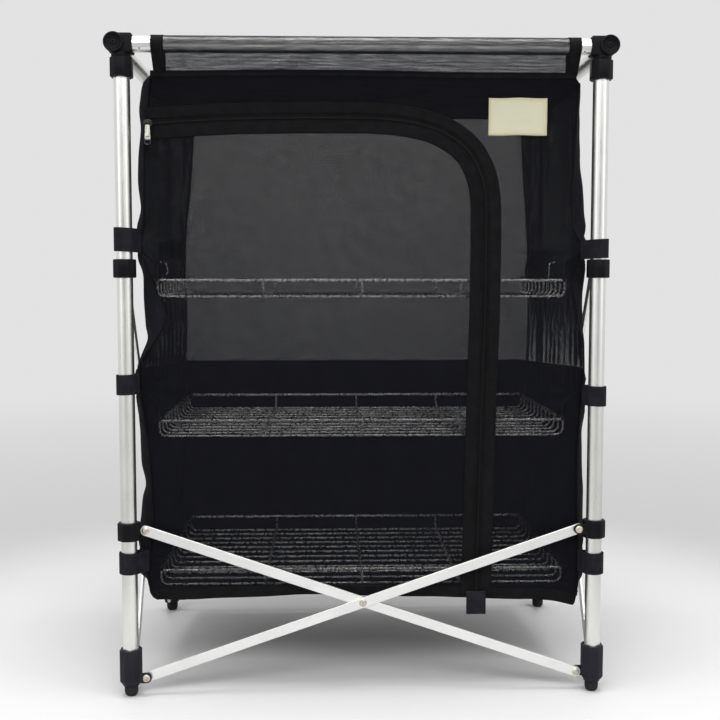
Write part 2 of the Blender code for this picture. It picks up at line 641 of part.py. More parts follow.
def header(sy):
    """A sleeve of cloth round a rail, both its ends sewn into a band at the header seam."""
    radius = BORE_R + CLOTH_H
    spread_at = []
    for side in (-1, 1):
        foot = Vector((-COVER_Y + side * SEAM_BAND_T / 4, SEAM_Z))
        away = foot - Vector((-LEG_Y, RAIL_Z))
        spread_at.append((foot, math.atan2(away.y, away.x) + side * math.acos(radius / away.length)))
    (front_foot, start), (back_foot, end) = spread_at
    loop = circle(-LEG_Y, RAIL_Z, radius, 18, start, end - start - 2 * math.pi)
    path = [tuple(front_foot)] + loop + [tuple(back_foot)]
    sleeve = plate([[(-sy * u, z) for u, z in ribbon(path, CLOTH_T)]], SLEEVE_HALF, 'X')
    band_y = sy * COVER_Y
    band = box((-inner, band_y - SEAM_BAND_T / 2, SEAM_Z - SEAM_BAND_H / 2),
               (inner, band_y + SEAM_BAND_T / 2, SEAM_Z + SEAM_BAND_H / 2))
    return shaped(band, add=[sleeve])


def zip_line(offset=0.0):
    """The zip's path from its left end to its foot, set outwards by an offset, as (x, z)."""
    start_x, start_z = -COVER_X, ZIP_TOP_Z - ZIP_START_DROP
    tilt = math.atan2(ZIP_START_DROP, ZIP_BEND_X - start_x)
    points = [(start_x, start_z + offset / math.cos(tilt))]
    lean = math.atan2(ZIP_RUN_X - ZIP_FOOT_X, ZIP_BEND_Z - HEM_Z)
    points += circle(ZIP_BEND_X, ZIP_BEND_Z, ZIP_R + offset, 14, math.pi / 2 + tilt,
                     -math.pi / 2 - tilt - lean)
    points.append((ZIP_FOOT_X + offset / math.cos(lean), HEM_Z))
    return points


def flat_panel(loops, y, half):
    """An upright sheet across the rack, from outlines in (x, z)."""
    return moved(plate(loops, half, 'Y'), offset=(0, y, 0))


fixed_outline = zip_line(ZIP_SPLIT / 2)
fixed_outline[0] = (-edge, fixed_outline[0][1])
fixed_outline += [(edge, HEM_Z), (edge, SEAM_Z + CLOTH_H), (-edge, SEAM_Z + CLOTH_H)]
front = shaped(header(-1), add=[flat_panel([fixed_outline], -COVER_Y, CLOTH_H)])
piece("cover_front", front, NET)

back_outline = [(-edge, HEM_Z), (edge, HEM_Z), (edge, SEAM_Z + CLOTH_H), (-edge, SEAM_Z + CLOTH_H)]
back = shaped(header(1), add=[flat_panel([back_outline], COVER_Y, CLOTH_H)])
piece("cover_back", back, NET)

# The side panels carry the straps round the legs and the hangers that hold the trays.
side_y = COVER_Y - CLOTH_H - GAP
side_top = SEAM_Z - CLOTH_H - GAP


def strap(sy, z):
    """A webbing loop round the left leg of one end, with its tail to the side panel."""
    leg_at = Vector((-LEG_X, sy * LEG_Y))
    sewn_at = Vector((-COVER_X, sy * (COVER_Y - STRAP_INSET)))
    along = (sewn_at - leg_at).normalized()
    across = Vector((-along.y, along.x)) * (STRAP_T / 2)
    loop = rod((leg_at.x, leg_at.y, z - STRAP_H / 2), (leg_at.x, leg_at.y, z + STRAP_H / 2),
               BORE_R + STRAP_T, STRAP_SIDES)
    hole = rod((leg_at.x, leg_at.y, z - STRAP_H), (leg_at.x, leg_at.y, z + STRAP_H),
               clear_of(BORE_R, STRAP_SIDES), STRAP_SIDES)
    start = leg_at + along * (BORE_R + STRAP_T / 2)
    corners = [start + across, start - across, sewn_at - across, sewn_at + across]
    tail = moved(plate([[tuple(c) for c in corners]], STRAP_H / 2), offset=(0, 0, z))
    return shaped(loop, add=[tail], cut=[hole])


hook_y = (wire_ys[0] + wire_ys[1]) / 2


def hanger(sy, rim_z):
    """A strip from the left side panel, down and under the tray's rim."""
    outside = TRAY_X + RIM_WIRE_R + GAP + HANGER_T / 2
    under = rim_z - RIM_WIRE_R - GAP - HANGER_T / 2
    inside = TRAY_X - RIM_WIRE_R - GAP - HANGER_T / 2
    path = [(-COVER_X, rim_z + HANGER_DROP), (-outside, rim_z + HANGER_DROP * 0.4), (-outside, under),
            (-inside, under), (-inside, rim_z - RIM_WIRE_R / 2)]
    return moved(plate([ribbon(path, HANGER_T)], HANGER_W / 2, 'Y'), offset=(0, -sy * hook_y, 0))


panel = box((-edge, -side_y, HEM_Z), (-edge + CLOTH_T, side_y, side_top))
extras = [strap(sy, z) for sy in (-1, 1) for z in (STRAP_TOP_Z, STRAP_MID_Z, STRAP_LOW_Z)]
extras += [hanger(sy, z) for sy in (-1, 1) for z in (RIM_TOP_Z, RIM_MID_Z)]
side = shaped(panel, add=extras)
piece("cover_side_right", moved(side, mirror=(-1, 1, 1)), NET)
piece("cover_side_left", side, NET)

top_y = COVER_Y - SEAM_BAND_T / 2 - GAP
piece("cover_top", box((-edge, -top_y, SEAM_Z - CLOTH_H), (edge, top_y, SEAM_Z + CLOTH_H)), CLOTH)
piece("cover_floor", box((-inner, -side_y, FLOOR_Z - CLOTH_H), (inner, side_y, FLOOR_Z + CLOTH_H)), CLOTH)

# Door: it hangs from its left edge and is zipped along the top and the right
door_edge = zip_line(-ZIP_SPLIT / 2)
door_edge[0] = (-edge, door_edge[0][1])
door = flat_panel([door_edge + [(-edge, HEM_Z)]], 0.0, CLOTH_H)
tape_in = zip_line(-ZIP_SPLIT / 2) + zip_line(-TAPE_W)[::-1]
door_tape = flat_panel([tape_in], -(CLOTH_H + TAPE_T) / 2, (CLOTH_H + TAPE_T) / 2)
door = shaped(door, add=[door_tape])
DOOR_ORIGIN = (-COVER_X, -COVER_Y, 0)
piece("cover_door", moved(door, offset=(COVER_X, 0, 0)), NET, DOOR_ORIGIN)

tape_out = zip_line(ZIP_SPLIT / 2) + zip_line(TAPE_W)[::-1]
piece("zip_tape", flat_panel([tape_out], TAPE_FACE + TAPE_T / 2, TAPE_T / 2), WEBBING)

tab_y = TAPE_FACE - GAP - TAB_T / 2
tab_x = ZIP_FOOT_X
piece("zip_tab", box((tab_x - TAB_W / 2, tab_y - TAB_T / 2, HEM_Z - TAB_HANG),
                     (tab_x + TAB_W / 2, tab_y + TAB_T / 2, HEM_Z + TAB_GRIP)), WEBBING)

label_x = COVER_X - LABEL_IN
label_top = SEAM_Z - LABEL_DROP
label_y = FRONT_FACE - GAP - LABEL_T / 2
piece("label_patch", box((label_x - LABEL_W / 2, label_y - LABEL_T / 2, label_top - LABEL_H),
                         (label_x + LABEL_W / 2, label_y + LABEL_T / 2, label_top)), PATCH)

# Zip slider at the closed end of the zip, with its pull hanging from the bail
zip_tilt = math.atan2(ZIP_START_DROP, ZIP_BEND_X + COVER_X)
slider_x = -COVER_X + SLIDER_IN
slider_z = ZIP_TOP_Z - ZIP_START_DROP + SLIDER_IN * math.tan(zip_tilt)
slider_back = TAPE_FACE - GAP
body = box((-SLIDER_L / 2, -SLIDER_T, -SLIDER_H / 2), (SLIDER_L / 2, 0, SLIDER_H / 2))
soften = body.modifiers.new("edges", 'BEVEL')
soften.width = 0.0010
soften.segments = 2
bail_y = -SLIDER_T - GAP - BARREL_R
bail = wire([(-BAIL_HALF, -SLIDER_T / 2, 0), (-BAIL_HALF, bail_y, 0), (BAIL_HALF, bail_y, 0),
             (BAIL_HALF, -SLIDER_T / 2, 0)], BAIL_R, sides=8)
slider = shaped(evaluated(body), add=[bail])
slider.matrix_world = Matrix.Rotation(-zip_tilt, 4, 'Y')
piece("zip_slider", evaluated(slider), ZIP_METAL, (slider_x, slider_back, slider_z))

barrel_eye = rod((-BARREL_L / 2, 0, 0), (BARREL_L / 2, 0, 0), BARREL_R, 10)
eye_hole = rod((-BARREL_L, 0, 0), (BARREL_L, 0, 0), BAIL_R + SLIDE_FIT, 10)
top_half, end_half = PULL_TOP_W / 2, PULL_END_W / 2
blade_top = -(BAIL_R + SLIDE_FIT + BARREL_R) / 2
blade_end = -BARREL_R - PULL_L
blade_outline = [(-top_half, blade_top), (-end_half, blade_end + end_half)]
blade_outline += circle(0, blade_end + end_half, end_half, 6, math.pi, math.pi)[1:]
blade_outline += [(top_half, blade_top)]
blade = plate([blade_outline], PULL_T / 2, 'Y')
ring_z = blade_end - RING_R + RING_WIRE_R
ring = wire([(u, 0.0, v) for u, v in circle(0, ring_z, RING_R, 10)], RING_WIRE_R, closed=True)
pull = shaped(barrel_eye, add=[blade, ring], cut=[eye_hole])
piece("zip_pull", pull, ZIP_METAL, (slider_x, slider_back + bail_y, slider_z))

# Construction shapes that were copied into pieces have done their work.
for ob in list(cutters.objects):
    bpy.data.objects.remove(ob, do_unlink=True)
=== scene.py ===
"""Camp net rack: a folding aluminium frame with a hanging net cover and three wire trays."""
import math

import bmesh
import bpy
from mathutils import Matrix, Vector, noise


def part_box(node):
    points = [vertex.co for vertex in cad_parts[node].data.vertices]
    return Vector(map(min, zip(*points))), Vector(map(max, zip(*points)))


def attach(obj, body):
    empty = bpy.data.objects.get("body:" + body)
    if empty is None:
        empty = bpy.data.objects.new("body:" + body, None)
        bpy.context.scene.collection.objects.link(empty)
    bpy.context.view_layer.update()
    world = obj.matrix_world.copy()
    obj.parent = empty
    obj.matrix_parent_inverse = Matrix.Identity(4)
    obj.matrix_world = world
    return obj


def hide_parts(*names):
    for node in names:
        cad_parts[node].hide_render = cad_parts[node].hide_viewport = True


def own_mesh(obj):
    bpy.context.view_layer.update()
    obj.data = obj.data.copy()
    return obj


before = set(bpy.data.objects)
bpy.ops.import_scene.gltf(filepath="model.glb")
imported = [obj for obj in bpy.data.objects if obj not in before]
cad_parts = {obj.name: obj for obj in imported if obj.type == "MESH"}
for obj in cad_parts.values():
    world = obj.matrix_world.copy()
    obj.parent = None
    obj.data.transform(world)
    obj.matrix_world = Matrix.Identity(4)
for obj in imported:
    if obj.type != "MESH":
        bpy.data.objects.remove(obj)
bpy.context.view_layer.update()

# The studio: a pale floor that runs back into a plain pale backdrop, under soft light from above
# and from both sides of the camera, which stands a little above the middle of the rack.
scene = bpy.context.scene
scene.view_settings.view_transform = 'Standard'

camera = bpy.data.objects.new("camera", bpy.data.cameras.new("camera"))
camera.location = (-0.04036, -1.43442, 0.50254)
camera.rotation_euler = (math.radians(90 - 4.230), 0.0, math.radians(-1.669))
camera.data.lens = 52.96
camera.data.sensor_width = 36.0
scene.collection.objects.link(camera)
scene.camera = camera

BACKDROP = 0.765
FILL_STRENGTH = 0.40
FLOOR_PALE = 0.93
FLOOR_R = 6.0


def add(tree, kind, inputs=None, **settings):
    """Add a shader node: its inputs are numbers, colours or other nodes' outputs."""
    new = tree.nodes.new("ShaderNode" + kind)
    for name, value in settings.items():
        setattr(new, name, value)
    for socket, value in (inputs or {}).items():
        if isinstance(value, bpy.types.NodeSocket):
            tree.links.new(value, new.inputs[socket])
        else:
            new.inputs[socket].default_value = value
    return new


def calc(tree, operation, *values):
    """A maths node's output."""
    return add(tree, "Math", dict(enumerate(values)), operation=operation).outputs[0]


def plus(tree, a, b):
    """The sum of two values."""
    return calc(tree, 'ADD', a, b)


def times(tree, a, b):
    """The product of two values."""
    return calc(tree, 'MULTIPLY', a, b)


def coords(tree, kind="Object"):
    """Places in metres on a piece, or, with UV, along its length and width."""
    return add(tree, "TexCoord").outputs[kind]


def ranged(tree, factor, low, high, start=0.0, end=1.0, smooth=False):
    """A factor between start and end, as a value between low and high."""
    return add(tree, "MapRange", {"Value": factor, "From Min": start, "From Max": end,
                                  "To Min": low, "To Max": high},
               interpolation_type='SMOOTHSTEP' if smooth else 'LINEAR').outputs[0]


def grey(value):
    """A neutral colour."""
    return value, value, value, 1.0


world = bpy.data.worlds.new("studio")
scene.world = world
world.use_nodes = True
sky = world.node_tree
sky.nodes.clear()
rays = add(sky, "LightPath")
seen = calc(sky, 'MAXIMUM', rays.outputs["Is Glossy Ray"], rays.outputs["Is Transmission Ray"])
seen = calc(sky, 'MAXIMUM', rays.outputs["Is Camera Ray"], seen)
fill = add(sky, "Background", {"Color": grey(1.0), "Strength": FILL_STRENGTH})
plain = add(sky, "Background", {"Color": grey(BACKDROP), "Strength": 1.0})
# What metal and gloss mirror: a pale room, with a dim patch where someone stands in front.
heading = add(sky, "SeparateXYZ", {0: coords(sky, "Generated")})
forwards = calc(sky, 'MAXIMUM', times(sky, heading.outputs[1], -1.0), 0.001)
aside = calc(sky, 'DIVIDE', calc(sky, 'ABSOLUTE', heading.outputs[0]), forwards)
ahead = ranged(sky, aside, 1.0, 0.0, 0.14, 0.36, smooth=True)
level = ranged(sky, calc(sky, 'ABSOLUTE', heading.outputs[2]), 1.0, 0.0, 0.16, 0.34, smooth=True)
dim = calc(sky, 'SUBTRACT', 1.08, times(sky, times(sky, ahead, level), 0.90))
mirrored = add(sky, "Background", {"Color": grey(BACKDROP), "Strength": dim})
seen_plain = add(sky, "MixShader", {0: rays.outputs["Is Glossy Ray"], 1: plain.outputs[0],
                                    2: mirrored.outputs[0]})
chosen = add(sky, "MixShader", {0: seen, 1: fill.outputs[0], 2: seen_plain.outputs[0]})
add(sky, "OutputWorld", {"Surface": chosen.outputs[0]})

floor_finish = bpy.data.materials.new("studio floor")
floor_finish.use_nodes = True
tree = floor_finish.node_tree
tree.nodes.clear()
# Past the rack the floor turns into a glow at the backdrop's tone. Near the rack the glow is dimmer,
# painted shade for the foot of the backdrop, and it brightens to the full tone 3.4 m out.
from_rack = add(tree, "VectorMath", {0: coords(tree)}, operation='LENGTH').outputs["Value"]
near = add(tree, "BsdfDiffuse", {"Color": grey(FLOOR_PALE)})
away = add(tree, "Emission", {"Color": grey(BACKDROP),
                              "Strength": ranged(tree, from_rack, 0.80, 1.0, 0.8, 3.4)})
both = add(tree, "MixShader", {0: ranged(tree, from_rack, 0.0, 1.0, 0.50, 1.0, smooth=True),
                               1: near.outputs[0], 2: away.outputs[0]})
add(tree, "OutputMaterial", {"Surface": both.outputs[0]})

floor_mesh = bpy.data.meshes.new("studio_floor")
floor_rim = [(FLOOR_R * math.cos(a * math.pi / 36), FLOOR_R * math.sin(a * math.pi / 36), 0.0)
             for a in range(72)]
floor_mesh.from_pydata(floor_rim, [], [tuple(range(72))])
floor_mesh.materials.append(floor_finish)
studio_floor = bpy.data.objects.new("studio_floor", floor_mesh)
scene.collection.objects.link(studio_floor)


def softbox(name, place, aim, width, height, power):
    """A soft panel of light, turned towards a point, that the camera doesn't see."""
    light = bpy.data.lights.new(name, 'AREA')
    light.shape = 'RECTANGLE'
    light.size, light.size_y = width, height
    light.energy = power
    lamp = bpy.data.objects.new(name, light)
    lamp.location = place
    lamp.rotation_euler = (Vector(aim) - Vector(place)).to_track_quat('-Z', 'Y').to_euler()
    lamp.visible_camera = False
    scene.collection.objects.link(lamp)


softbox("overhead", (0.0, -0.2, 2.3), (0.0, 0.0, 0.0), 1.5, 1.2, 31.0)
softbox("strip_in_front", (0.0, -2.3, 1.9), (0.0, 0.0, 0.35), 2.8, 0.8, 32.0)
softbox("left_front", (-1.9, -1.5, 1.2), (0.0, 0.0, 0.4), 0.8, 1.8, 5.0)
softbox("right_front", (1.9, -1.5, 1.2), (0.0, 0.0, 0.4), 0.8, 1.8, 5.0)

# Legs and top rails: 19 mm aluminium tubes, drawn and satin anodised, so the light runs down them
# in soft bands and their skin shows fine lines along their length.
LEG_X, LEG_Y = 0.282, 0.169
TUBE_R = 0.0095
TUBE_BORE = 0.0083
RAIL_Z = 0.7787
SHARP_DEGREES = 35
CORNERS = [(-1, -1), (1, -1), (1, 1), (-1, 1)]


def corner_name(sx, sy):
    """The end of a node's name for one corner of the rack."""
    return ("front" if sy < 0 else "back") + ("_left" if sx < 0 else "_right")


class Blank:
    """A piece before it is finished: points, faces, a mark in metres at each point, and looks."""

    def __init__(self, points, faces, marks=None, look=0):
        self.points = [Vector(p) for p in points]
        self.faces = [tuple(f) for f in faces]
        self.marks = list(marks) if marks else [(p[0], p[1]) for p in points]
        self.looks = [look] * len(self.faces)

    def put(self, *places):
        """The same blank moved by one matrix after another."""
        done = Blank([], [])
        done.points = self.points
        for place in places:
            done.points = [place @ p for p in done.points]
        done.faces, done.marks, done.looks = self.faces, self.marks, self.looks
        return done

    def with_look(self, look):
        """The same blank in the piece's second or third finish."""
        done = self.put()
        done.looks = [look] * len(self.faces)
        return done

    def __add__(self, other):
        start = len(self.points)
        done = Blank([], [])
        done.points = self.points + other.points
        done.faces = self.faces + [tuple(i + start for i in face) for face in other.faces]
        done.marks = self.marks + other.marks
        done.looks = self.looks + other.looks
        return done


def shift(x, y, z):
    """A move, as a matrix."""
    return Matrix.Translation((x, y, z))


def turn(degrees, axis):
    """A turn about an axis, as a matrix."""
    return Matrix.Rotation(math.radians(degrees), 4, axis)


def make(name, blank, finishes, body="frame", nodes=(), solid=True):
    """Finish a blank as a piece that rides on a body and stands for CAD nodes."""
    mesh = bpy.data.meshes.new(name)
    mesh.from_pydata(blank.points, [], blank.faces)
    layer = mesh.uv_layers.new(name="marks")
    for loop in mesh.loops:
        layer.data[loop.index].uv = blank.marks[loop.vertex_index]
    for face, look in zip(mesh.polygons, blank.looks):
        face.material_index = look
    if solid:
        bm = bmesh.new()
        bm.from_mesh(mesh)
        bmesh.ops.recalc_face_normals(bm, faces=bm.faces)
        bm.to_mesh(mesh)
        bm.free()
    mesh.shade_smooth()
    mesh.set_sharp_from_angle(angle=math.radians(SHARP_DEGREES))
    for finish in finishes:
        mesh.materials.append(finish)
    piece = bpy.data.objects.new(name, mesh)
    scene.collection.objects.link(piece)
    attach(piece, body)
    if nodes:
        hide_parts(*nodes)
    return piece


def rows_of(rings, closed=False, marks=None, look=0):
    """A skin over rings of equally many points, capped unless it closes on itself."""
    count = len(rings[0])
    points = [p for ring in rings for p in ring]
    faces = []
    for j in range(len(rings) if closed else len(rings) - 1):
        k = (j + 1) % len(rings)
        for i in range(count):
            m = (i + 1) % count
            faces.append((j * count + i, j * count + m, k * count + m, k * count + i))
    if not closed:
        faces.append(tuple(range(count))[::-1])
        faces.append(tuple((len(rings) - 1) * count + i for i in range(count)))
    return Blank(points, faces, marks, look)


def turned(profile, sides=48, closed=False):
    """An (r, z) profile turned about Z."""
    rings, marks = [], []
    widest = max(r for r, _ in profile)
    for r, z in profile:
        angles = [2 * math.pi * i / sides for i in range(sides)]
        rings.append([(r * math.cos(a), r * math.sin(a), z) for a in angles])
        marks += [(widest * abs(a - math.pi), z) for a in angles]
    return rows_of(rings, closed=closed, marks=marks)


def finish(name, base, roughness, **sockets):
    """A new material with its shader's plain values; returns material, tree and shader."""
    material = bpy.data.materials.new(name)
    material.use_nodes = True
    tree = material.node_tree
    shader = tree.nodes["Principled BSDF"]
    shader.inputs["Base Color"].default_value = (*base, 1.0)
    shader.inputs["Roughness"].default_value = roughness
    for socket, value in sockets.items():
        shader.inputs[socket.replace("_", " ")].default_value = value
    return material, tree, shader


def feed(shader, socket, value):
    """Drive one of a shader's sockets by another node's output."""
    shader.id_data.links.new(value, shader.inputs[socket])


def grain(tree, source, scale, detail=3.0, roughness=0.5, stretch=(1, 1, 1)):
    """Noise over a surface, drawn out along an axis by a stretch."""
    spread = add(tree, "Mapping", {"Vector": source, "Scale": stretch}).outputs[0]
    return add(tree, "TexNoise", {"Vector": spread, "Scale": scale, "Detail": detail,
                                  "Roughness": roughness}).outputs["Fac"]


def shades(tree, factor, stops):
    """Colours along a factor, as (place, colour) stops."""
    ramp = add(tree, "ValToRGB", {0: factor})
    steps = ramp.color_ramp.elements
    for step, (place, colour) in ((steps[0], stops[0]), (steps[1], stops[-1])):
        step.position, step.color = place, (*colour, 1)
    for place, colour in stops[1:-1]:
        steps.new(place).color = (*colour, 1)
    return ramp.outputs[0]


def tinted(base, share):
    """A colour made darker or paler."""
    return tuple(c * share for c in base)


def bumped(tree, shader, height, distance, strength=1.0):
    """Raise the surface by a height field, over a distance in metres."""
    bump = add(tree, "Bump", {"Height": height, "Distance": distance, "Strength": strength})
    feed(shader, "Normal", bump.outputs[0])


def along_lines(name, base, low, high, lines=2600.0):
    """Drawn aluminium: fine lines along the piece's length, with a little handling wear."""
    material, tree, shader = finish(name, base, (low + high) / 2, Metallic=1.0)
    drawn = grain(tree, coords(tree, "UV"), lines, 2.0, stretch=(1.0, 0.012, 1.0))
    cloudy = grain(tree, coords(tree), 26.0, 4.0)
    feed(shader, "Base Color", shades(tree, cloudy, [(0.30, tinted(base, 0.93)), (0.70, base)]))
    both = plus(tree, times(tree, drawn, 0.75), times(tree, cloudy, 0.25))
    feed(shader, "Roughness", ranged(tree, both, low, high, 0.25, 0.75))
    bumped(tree, shader, drawn, 0.00002, 0.5)
    return material


TUBE_FINISH = along_lines("satin_aluminium_tube", (0.785, 0.785, 0.760), 0.24, 0.40)


def tube(start, end):
    """A tube along Z, open at both ends."""
    wall = [(TUBE_R, start), (TUBE_R, end), (TUBE_BORE, end), (TUBE_BORE, start)]
    return turned(wall, 64, closed=True)


def at_leg(sx, sy, z=0.0):
    """A place on the axis of one corner's leg, as a matrix."""
    return shift(sx * LEG_X, sy * LEG_Y, z)


for sx, sy in CORNERS:
    corner = corner_name(sx, sy)
    low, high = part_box(f"leg_{corner}")
    leg = tube(low[2], high[2]).put(at_leg(sx, sy))
    make(f"leg_tube_{corner}", leg, [TUBE_FINISH], nodes=[f"leg_{corner}"])

for side in ("front", "back", "left", "right"):
    low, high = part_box(f"rail_{side}")
    if side in ("front", "back"):
        rail = tube(low[0], high[0]).put(turn(90, 'Y'), shift(0, (low[1] + high[1]) / 2, RAIL_Z))
    else:
        rail = tube(low[1], high[1]).put(turn(-90, 'X'), shift((low[0] + high[0]) / 2, 0, RAIL_Z))
    make(f"rail_tube_{side}", rail, [TUBE_FINISH], nodes=[f"rail_{side}"])

# Top hubs: black glass-filled nylon mouldings. A leg socket with an arched rim hangs below a block
# for the front or back rail, and an outer barrel takes the side rail and its round cap.
HUB_W = 0.0258
BORE_R = 0.0099
CORNER_OUT = 1.060
ARCH_R, ARCH_DEPTH = 0.030, 0.0035
BLOCK_H = 0.0226
BARREL_R, BARREL_L = 0.0117, 0.0238
NECK_H, NECK_IN = 0.0045, 0.0018
SIDE_RAIL_OUT = 0.0068
SOCKET_RIM_Z, SOCKET_TOP_Z = 0.7371, 0.7674


def moulded(name, base, roughness, pebble=0.00004, scale=1500.0, gloss=0.06):
    """Moulded nylon: a fine pebbled skin, slightly paler where hands and bars rub it."""
    material, tree, shader = finish(name, base, roughness, Specular_IOR_Level=gloss)
    pebbles = grain(tree, coords(tree), scale, 2.0)
    patches = grain(tree, coords(tree), 60.0, 5.0)
    edges = add(tree, "NewGeometry").outputs["Pointiness"]
    rubbed = ranged(tree, edges, 0.0, 0.55, 0.50, 0.56)
    dusty = times(tree, ranged(tree, patches, 0.0, 0.5, 0.45, 0.75), 0.5)
    pale = tuple(c * 1.8 + 0.003 for c in base)
    feed(shader, "Base Color", shades(tree, plus(tree, rubbed, dusty), [(0.0, base), (1.0, pale)]))
    feed(shader, "Roughness", ranged(tree, patches, roughness - 0.08, roughness + 0.10, 0.3, 0.7))
    bumped(tree, shader, pebbles, pebble, 0.6)
    return material


NYLON = moulded("black_nylon", (0.0056, 0.0056, 0.0068), 0.40)


def arch(a):
    """How far the arched rim is cut back at a distance from the middle of a face."""
    return ARCH_DEPTH - (ARCH_R - math.sqrt(max(ARCH_R ** 2 - a ** 2, 0.0)))


def sleeve_body(low, high, width=HUB_W, arch_low=False, arch_high=False, rim=0.0009,
                taper_h=0.0, taper_in=0.0):
    """An eight-sided sleeve with softened corners and rims, its rims straight or arched."""
    rings = []

    def half_width(a):
        flat = (a + math.pi / 8) % (math.pi / 4) - math.pi / 8
        return min(width / 2 / math.cos(flat), width / 2 * CORNER_OUT)

    def ring(inwards, z, arched=0, at_bore=False):
        row = []
        for i in range(96):
            a = 2 * math.pi * i / 96
            r = BORE_R if at_bore else half_width(a) - inwards
            x, y = r * math.cos(a), r * math.sin(a)
            cut = max(0.0, arch(x), arch(y)) if arched else 0.0
            row.append((x, y, z + arched * cut))
        rings.append(row)

    up = 1 if arch_low else 0
    down = -1 if arch_high else 0
    ring(0, low, up, at_bore=True)
    ring(taper_in + rim, low, up)
    ring(taper_in + rim * 0.3, low + rim * 0.3, up)
    ring(taper_in, low + rim, up)
    if taper_h:
        ring(rim * 0.3, low + taper_h - rim * 0.3)
        ring(0, low + taper_h + rim)
    ring(0, (low + high) / 2)
    ring(0, high - rim, down)
    ring(rim * 0.3, high - rim * 0.3, down)
    ring(rim, high, down)
    ring(0, high, down, at_bore=True)
    return rows_of(rings, closed=True)


def block(low, high, edge=0.0012, steps=3):
    """A box between two corners with rounded edges."""
    bm = bmesh.new()
    low, high = Vector(low), Vector(high)
    middle = Matrix.Translation((low + high) / 2) @ Matrix.Diagonal((*(high - low), 1.0))
    bmesh.ops.create_cube(bm, size=1.0, matrix=middle)
    bmesh.ops.bevel(bm, geom=bm.edges[:] + bm.verts[:], offset=edge, segments=steps, profile=0.5,
                    affect='EDGES')
    bm.verts.ensure_lookup_table()
    blank = Blank([v.co.copy() for v in bm.verts], [[v.index for v in f.verts] for f in bm.faces])
    bm.free()
    return blank


hub = sleeve_body(SOCKET_RIM_Z, SOCKET_TOP_Z - NECK_H, arch_low=True)
hub += sleeve_body(SOCKET_TOP_Z - NECK_H - 0.0004, SOCKET_TOP_Z + 0.001, HUB_W - 2 * NECK_IN)
hub += block((-SIDE_RAIL_OUT, -BLOCK_H / 2, RAIL_Z - BLOCK_H / 2),
             (0.014, BLOCK_H / 2, RAIL_Z + BLOCK_H / 2), 0.0024, 4)
waist = BARREL_R - 0.0015
hub += turned([(TUBE_R, 0.0), (BARREL_R - 0.0008, 0.0), (BARREL_R, 0.0008), (BARREL_R, 0.0034),
               (BARREL_R - 0.0005, 0.0040), (waist, 0.0044), (waist, BARREL_L - 0.0044),
               (BARREL_R - 0.0005, BARREL_L - 0.0040), (BARREL_R, BARREL_L - 0.0034),
               (BARREL_R, BARREL_L - 0.0008), (BARREL_R - 0.0008, BARREL_L), (TUBE_R, BARREL_L)], 56,
              closed=True).put(turn(-90, 'X'), shift(-SIDE_RAIL_OUT, -BARREL_L / 2, RAIL_Z))

hub_cap = turned([(0.0002, 0.0005), (0.0009, 0.0007), (0.0012, 0.0017), (0.0027, 0.0018),
                  (0.0033, 0.0015), (0.0036, 0.0011), (0.0078, 0.0011), (0.0087, 0.0016),
                  (0.0093, 0.0027), (0.0101, 0.0030), (0.0110, 0.0028), (0.0116, 0.0018),
                  (0.0117, 0.0008), (0.0117, 0.0)], 56)

for sx, sy in CORNERS:
    corner = corner_name(sx, sy)
    flip = Matrix.Diagonal((-sx, -sy, 1, 1))
    make(f"top_hub_moulding_{corner}", hub.put(flip, at_leg(sx, sy)), [NYLON],
         nodes=[f"top_hub_{corner}"])
    low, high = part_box(f"hub_cap_{corner}")
    face = high[1] if sy > 0 else low[1]
    cap = hub_cap.put(turn(90 if sy < 0 else -90, 'X'),
                      shift(sx * (LEG_X + SIDE_RAIL_OUT), face - sy * 0.0030, RAIL_Z))
    make(f"hub_cap_disc_{corner}", cap, [NYLON], nodes=[f"hub_cap_{corner}"])

# Foot hubs: the same nylon, but paler with dust, eight-sided, with a scooped upper rim and two lugs
# for the brace bars. Each stands on a turned rubber foot that is pressed up into it.
FOOT_HUB_Z, FOOT_RIM_Z = 0.0133, 0.0608
FOOT_PIVOT_Z = 0.0231
LUG_T, LUG_H, LUG_ROOT = 0.0035, 0.0124, 0.004
LUG_OFF = 0.00565
PIVOT_OUT = 0.0195
HUB_TURN = {(-1, -1): 0, (1, -1): 90, (1, 1): 180, (-1, 1): -90}


def slab(outline, thickness, edge, look=0):
    """A flat plate in XY about z = 0 with its edges broken, from an outline that runs left."""
    count = len(outline)
    inset = []
    for i, point in enumerate(outline):
        before, after = Vector(outline[i - 1]), Vector(outline[(i + 1) % count])
        run = (after - before).normalized()
        inset.append((point[0] - run.y * edge, point[1] + run.x * edge))
    half = thickness / 2
    rings = [[(x, y, z) for x, y in loop] for loop, z in
             ((inset, -half), (outline, -half + edge), (outline, half - edge), (inset, half))]
    return rows_of(rings, look=look)


def round_end(x, radius, start, steps=14):
    """Half a circle about (x, 0), from a start angle in degrees, turning left."""
    return [(x + radius * math.cos(math.radians(start) + math.pi * i / steps),
             radius * math.sin(math.radians(start) + math.pi * i / steps)) for i in range(steps + 1)]


def lug(side):
    """A lug towards +X at z = 0, on one side of the leg's middle plane."""
    root = HUB_W / 2 - LUG_ROOT
    outline = [(root, -LUG_H / 2)] + round_end(PIVOT_OUT, LUG_H / 2, -90) + [(root, LUG_H / 2)]
    return slab(outline, LUG_T, 0.0005).put(turn(90, 'X'), shift(0, side * LUG_OFF, 0))


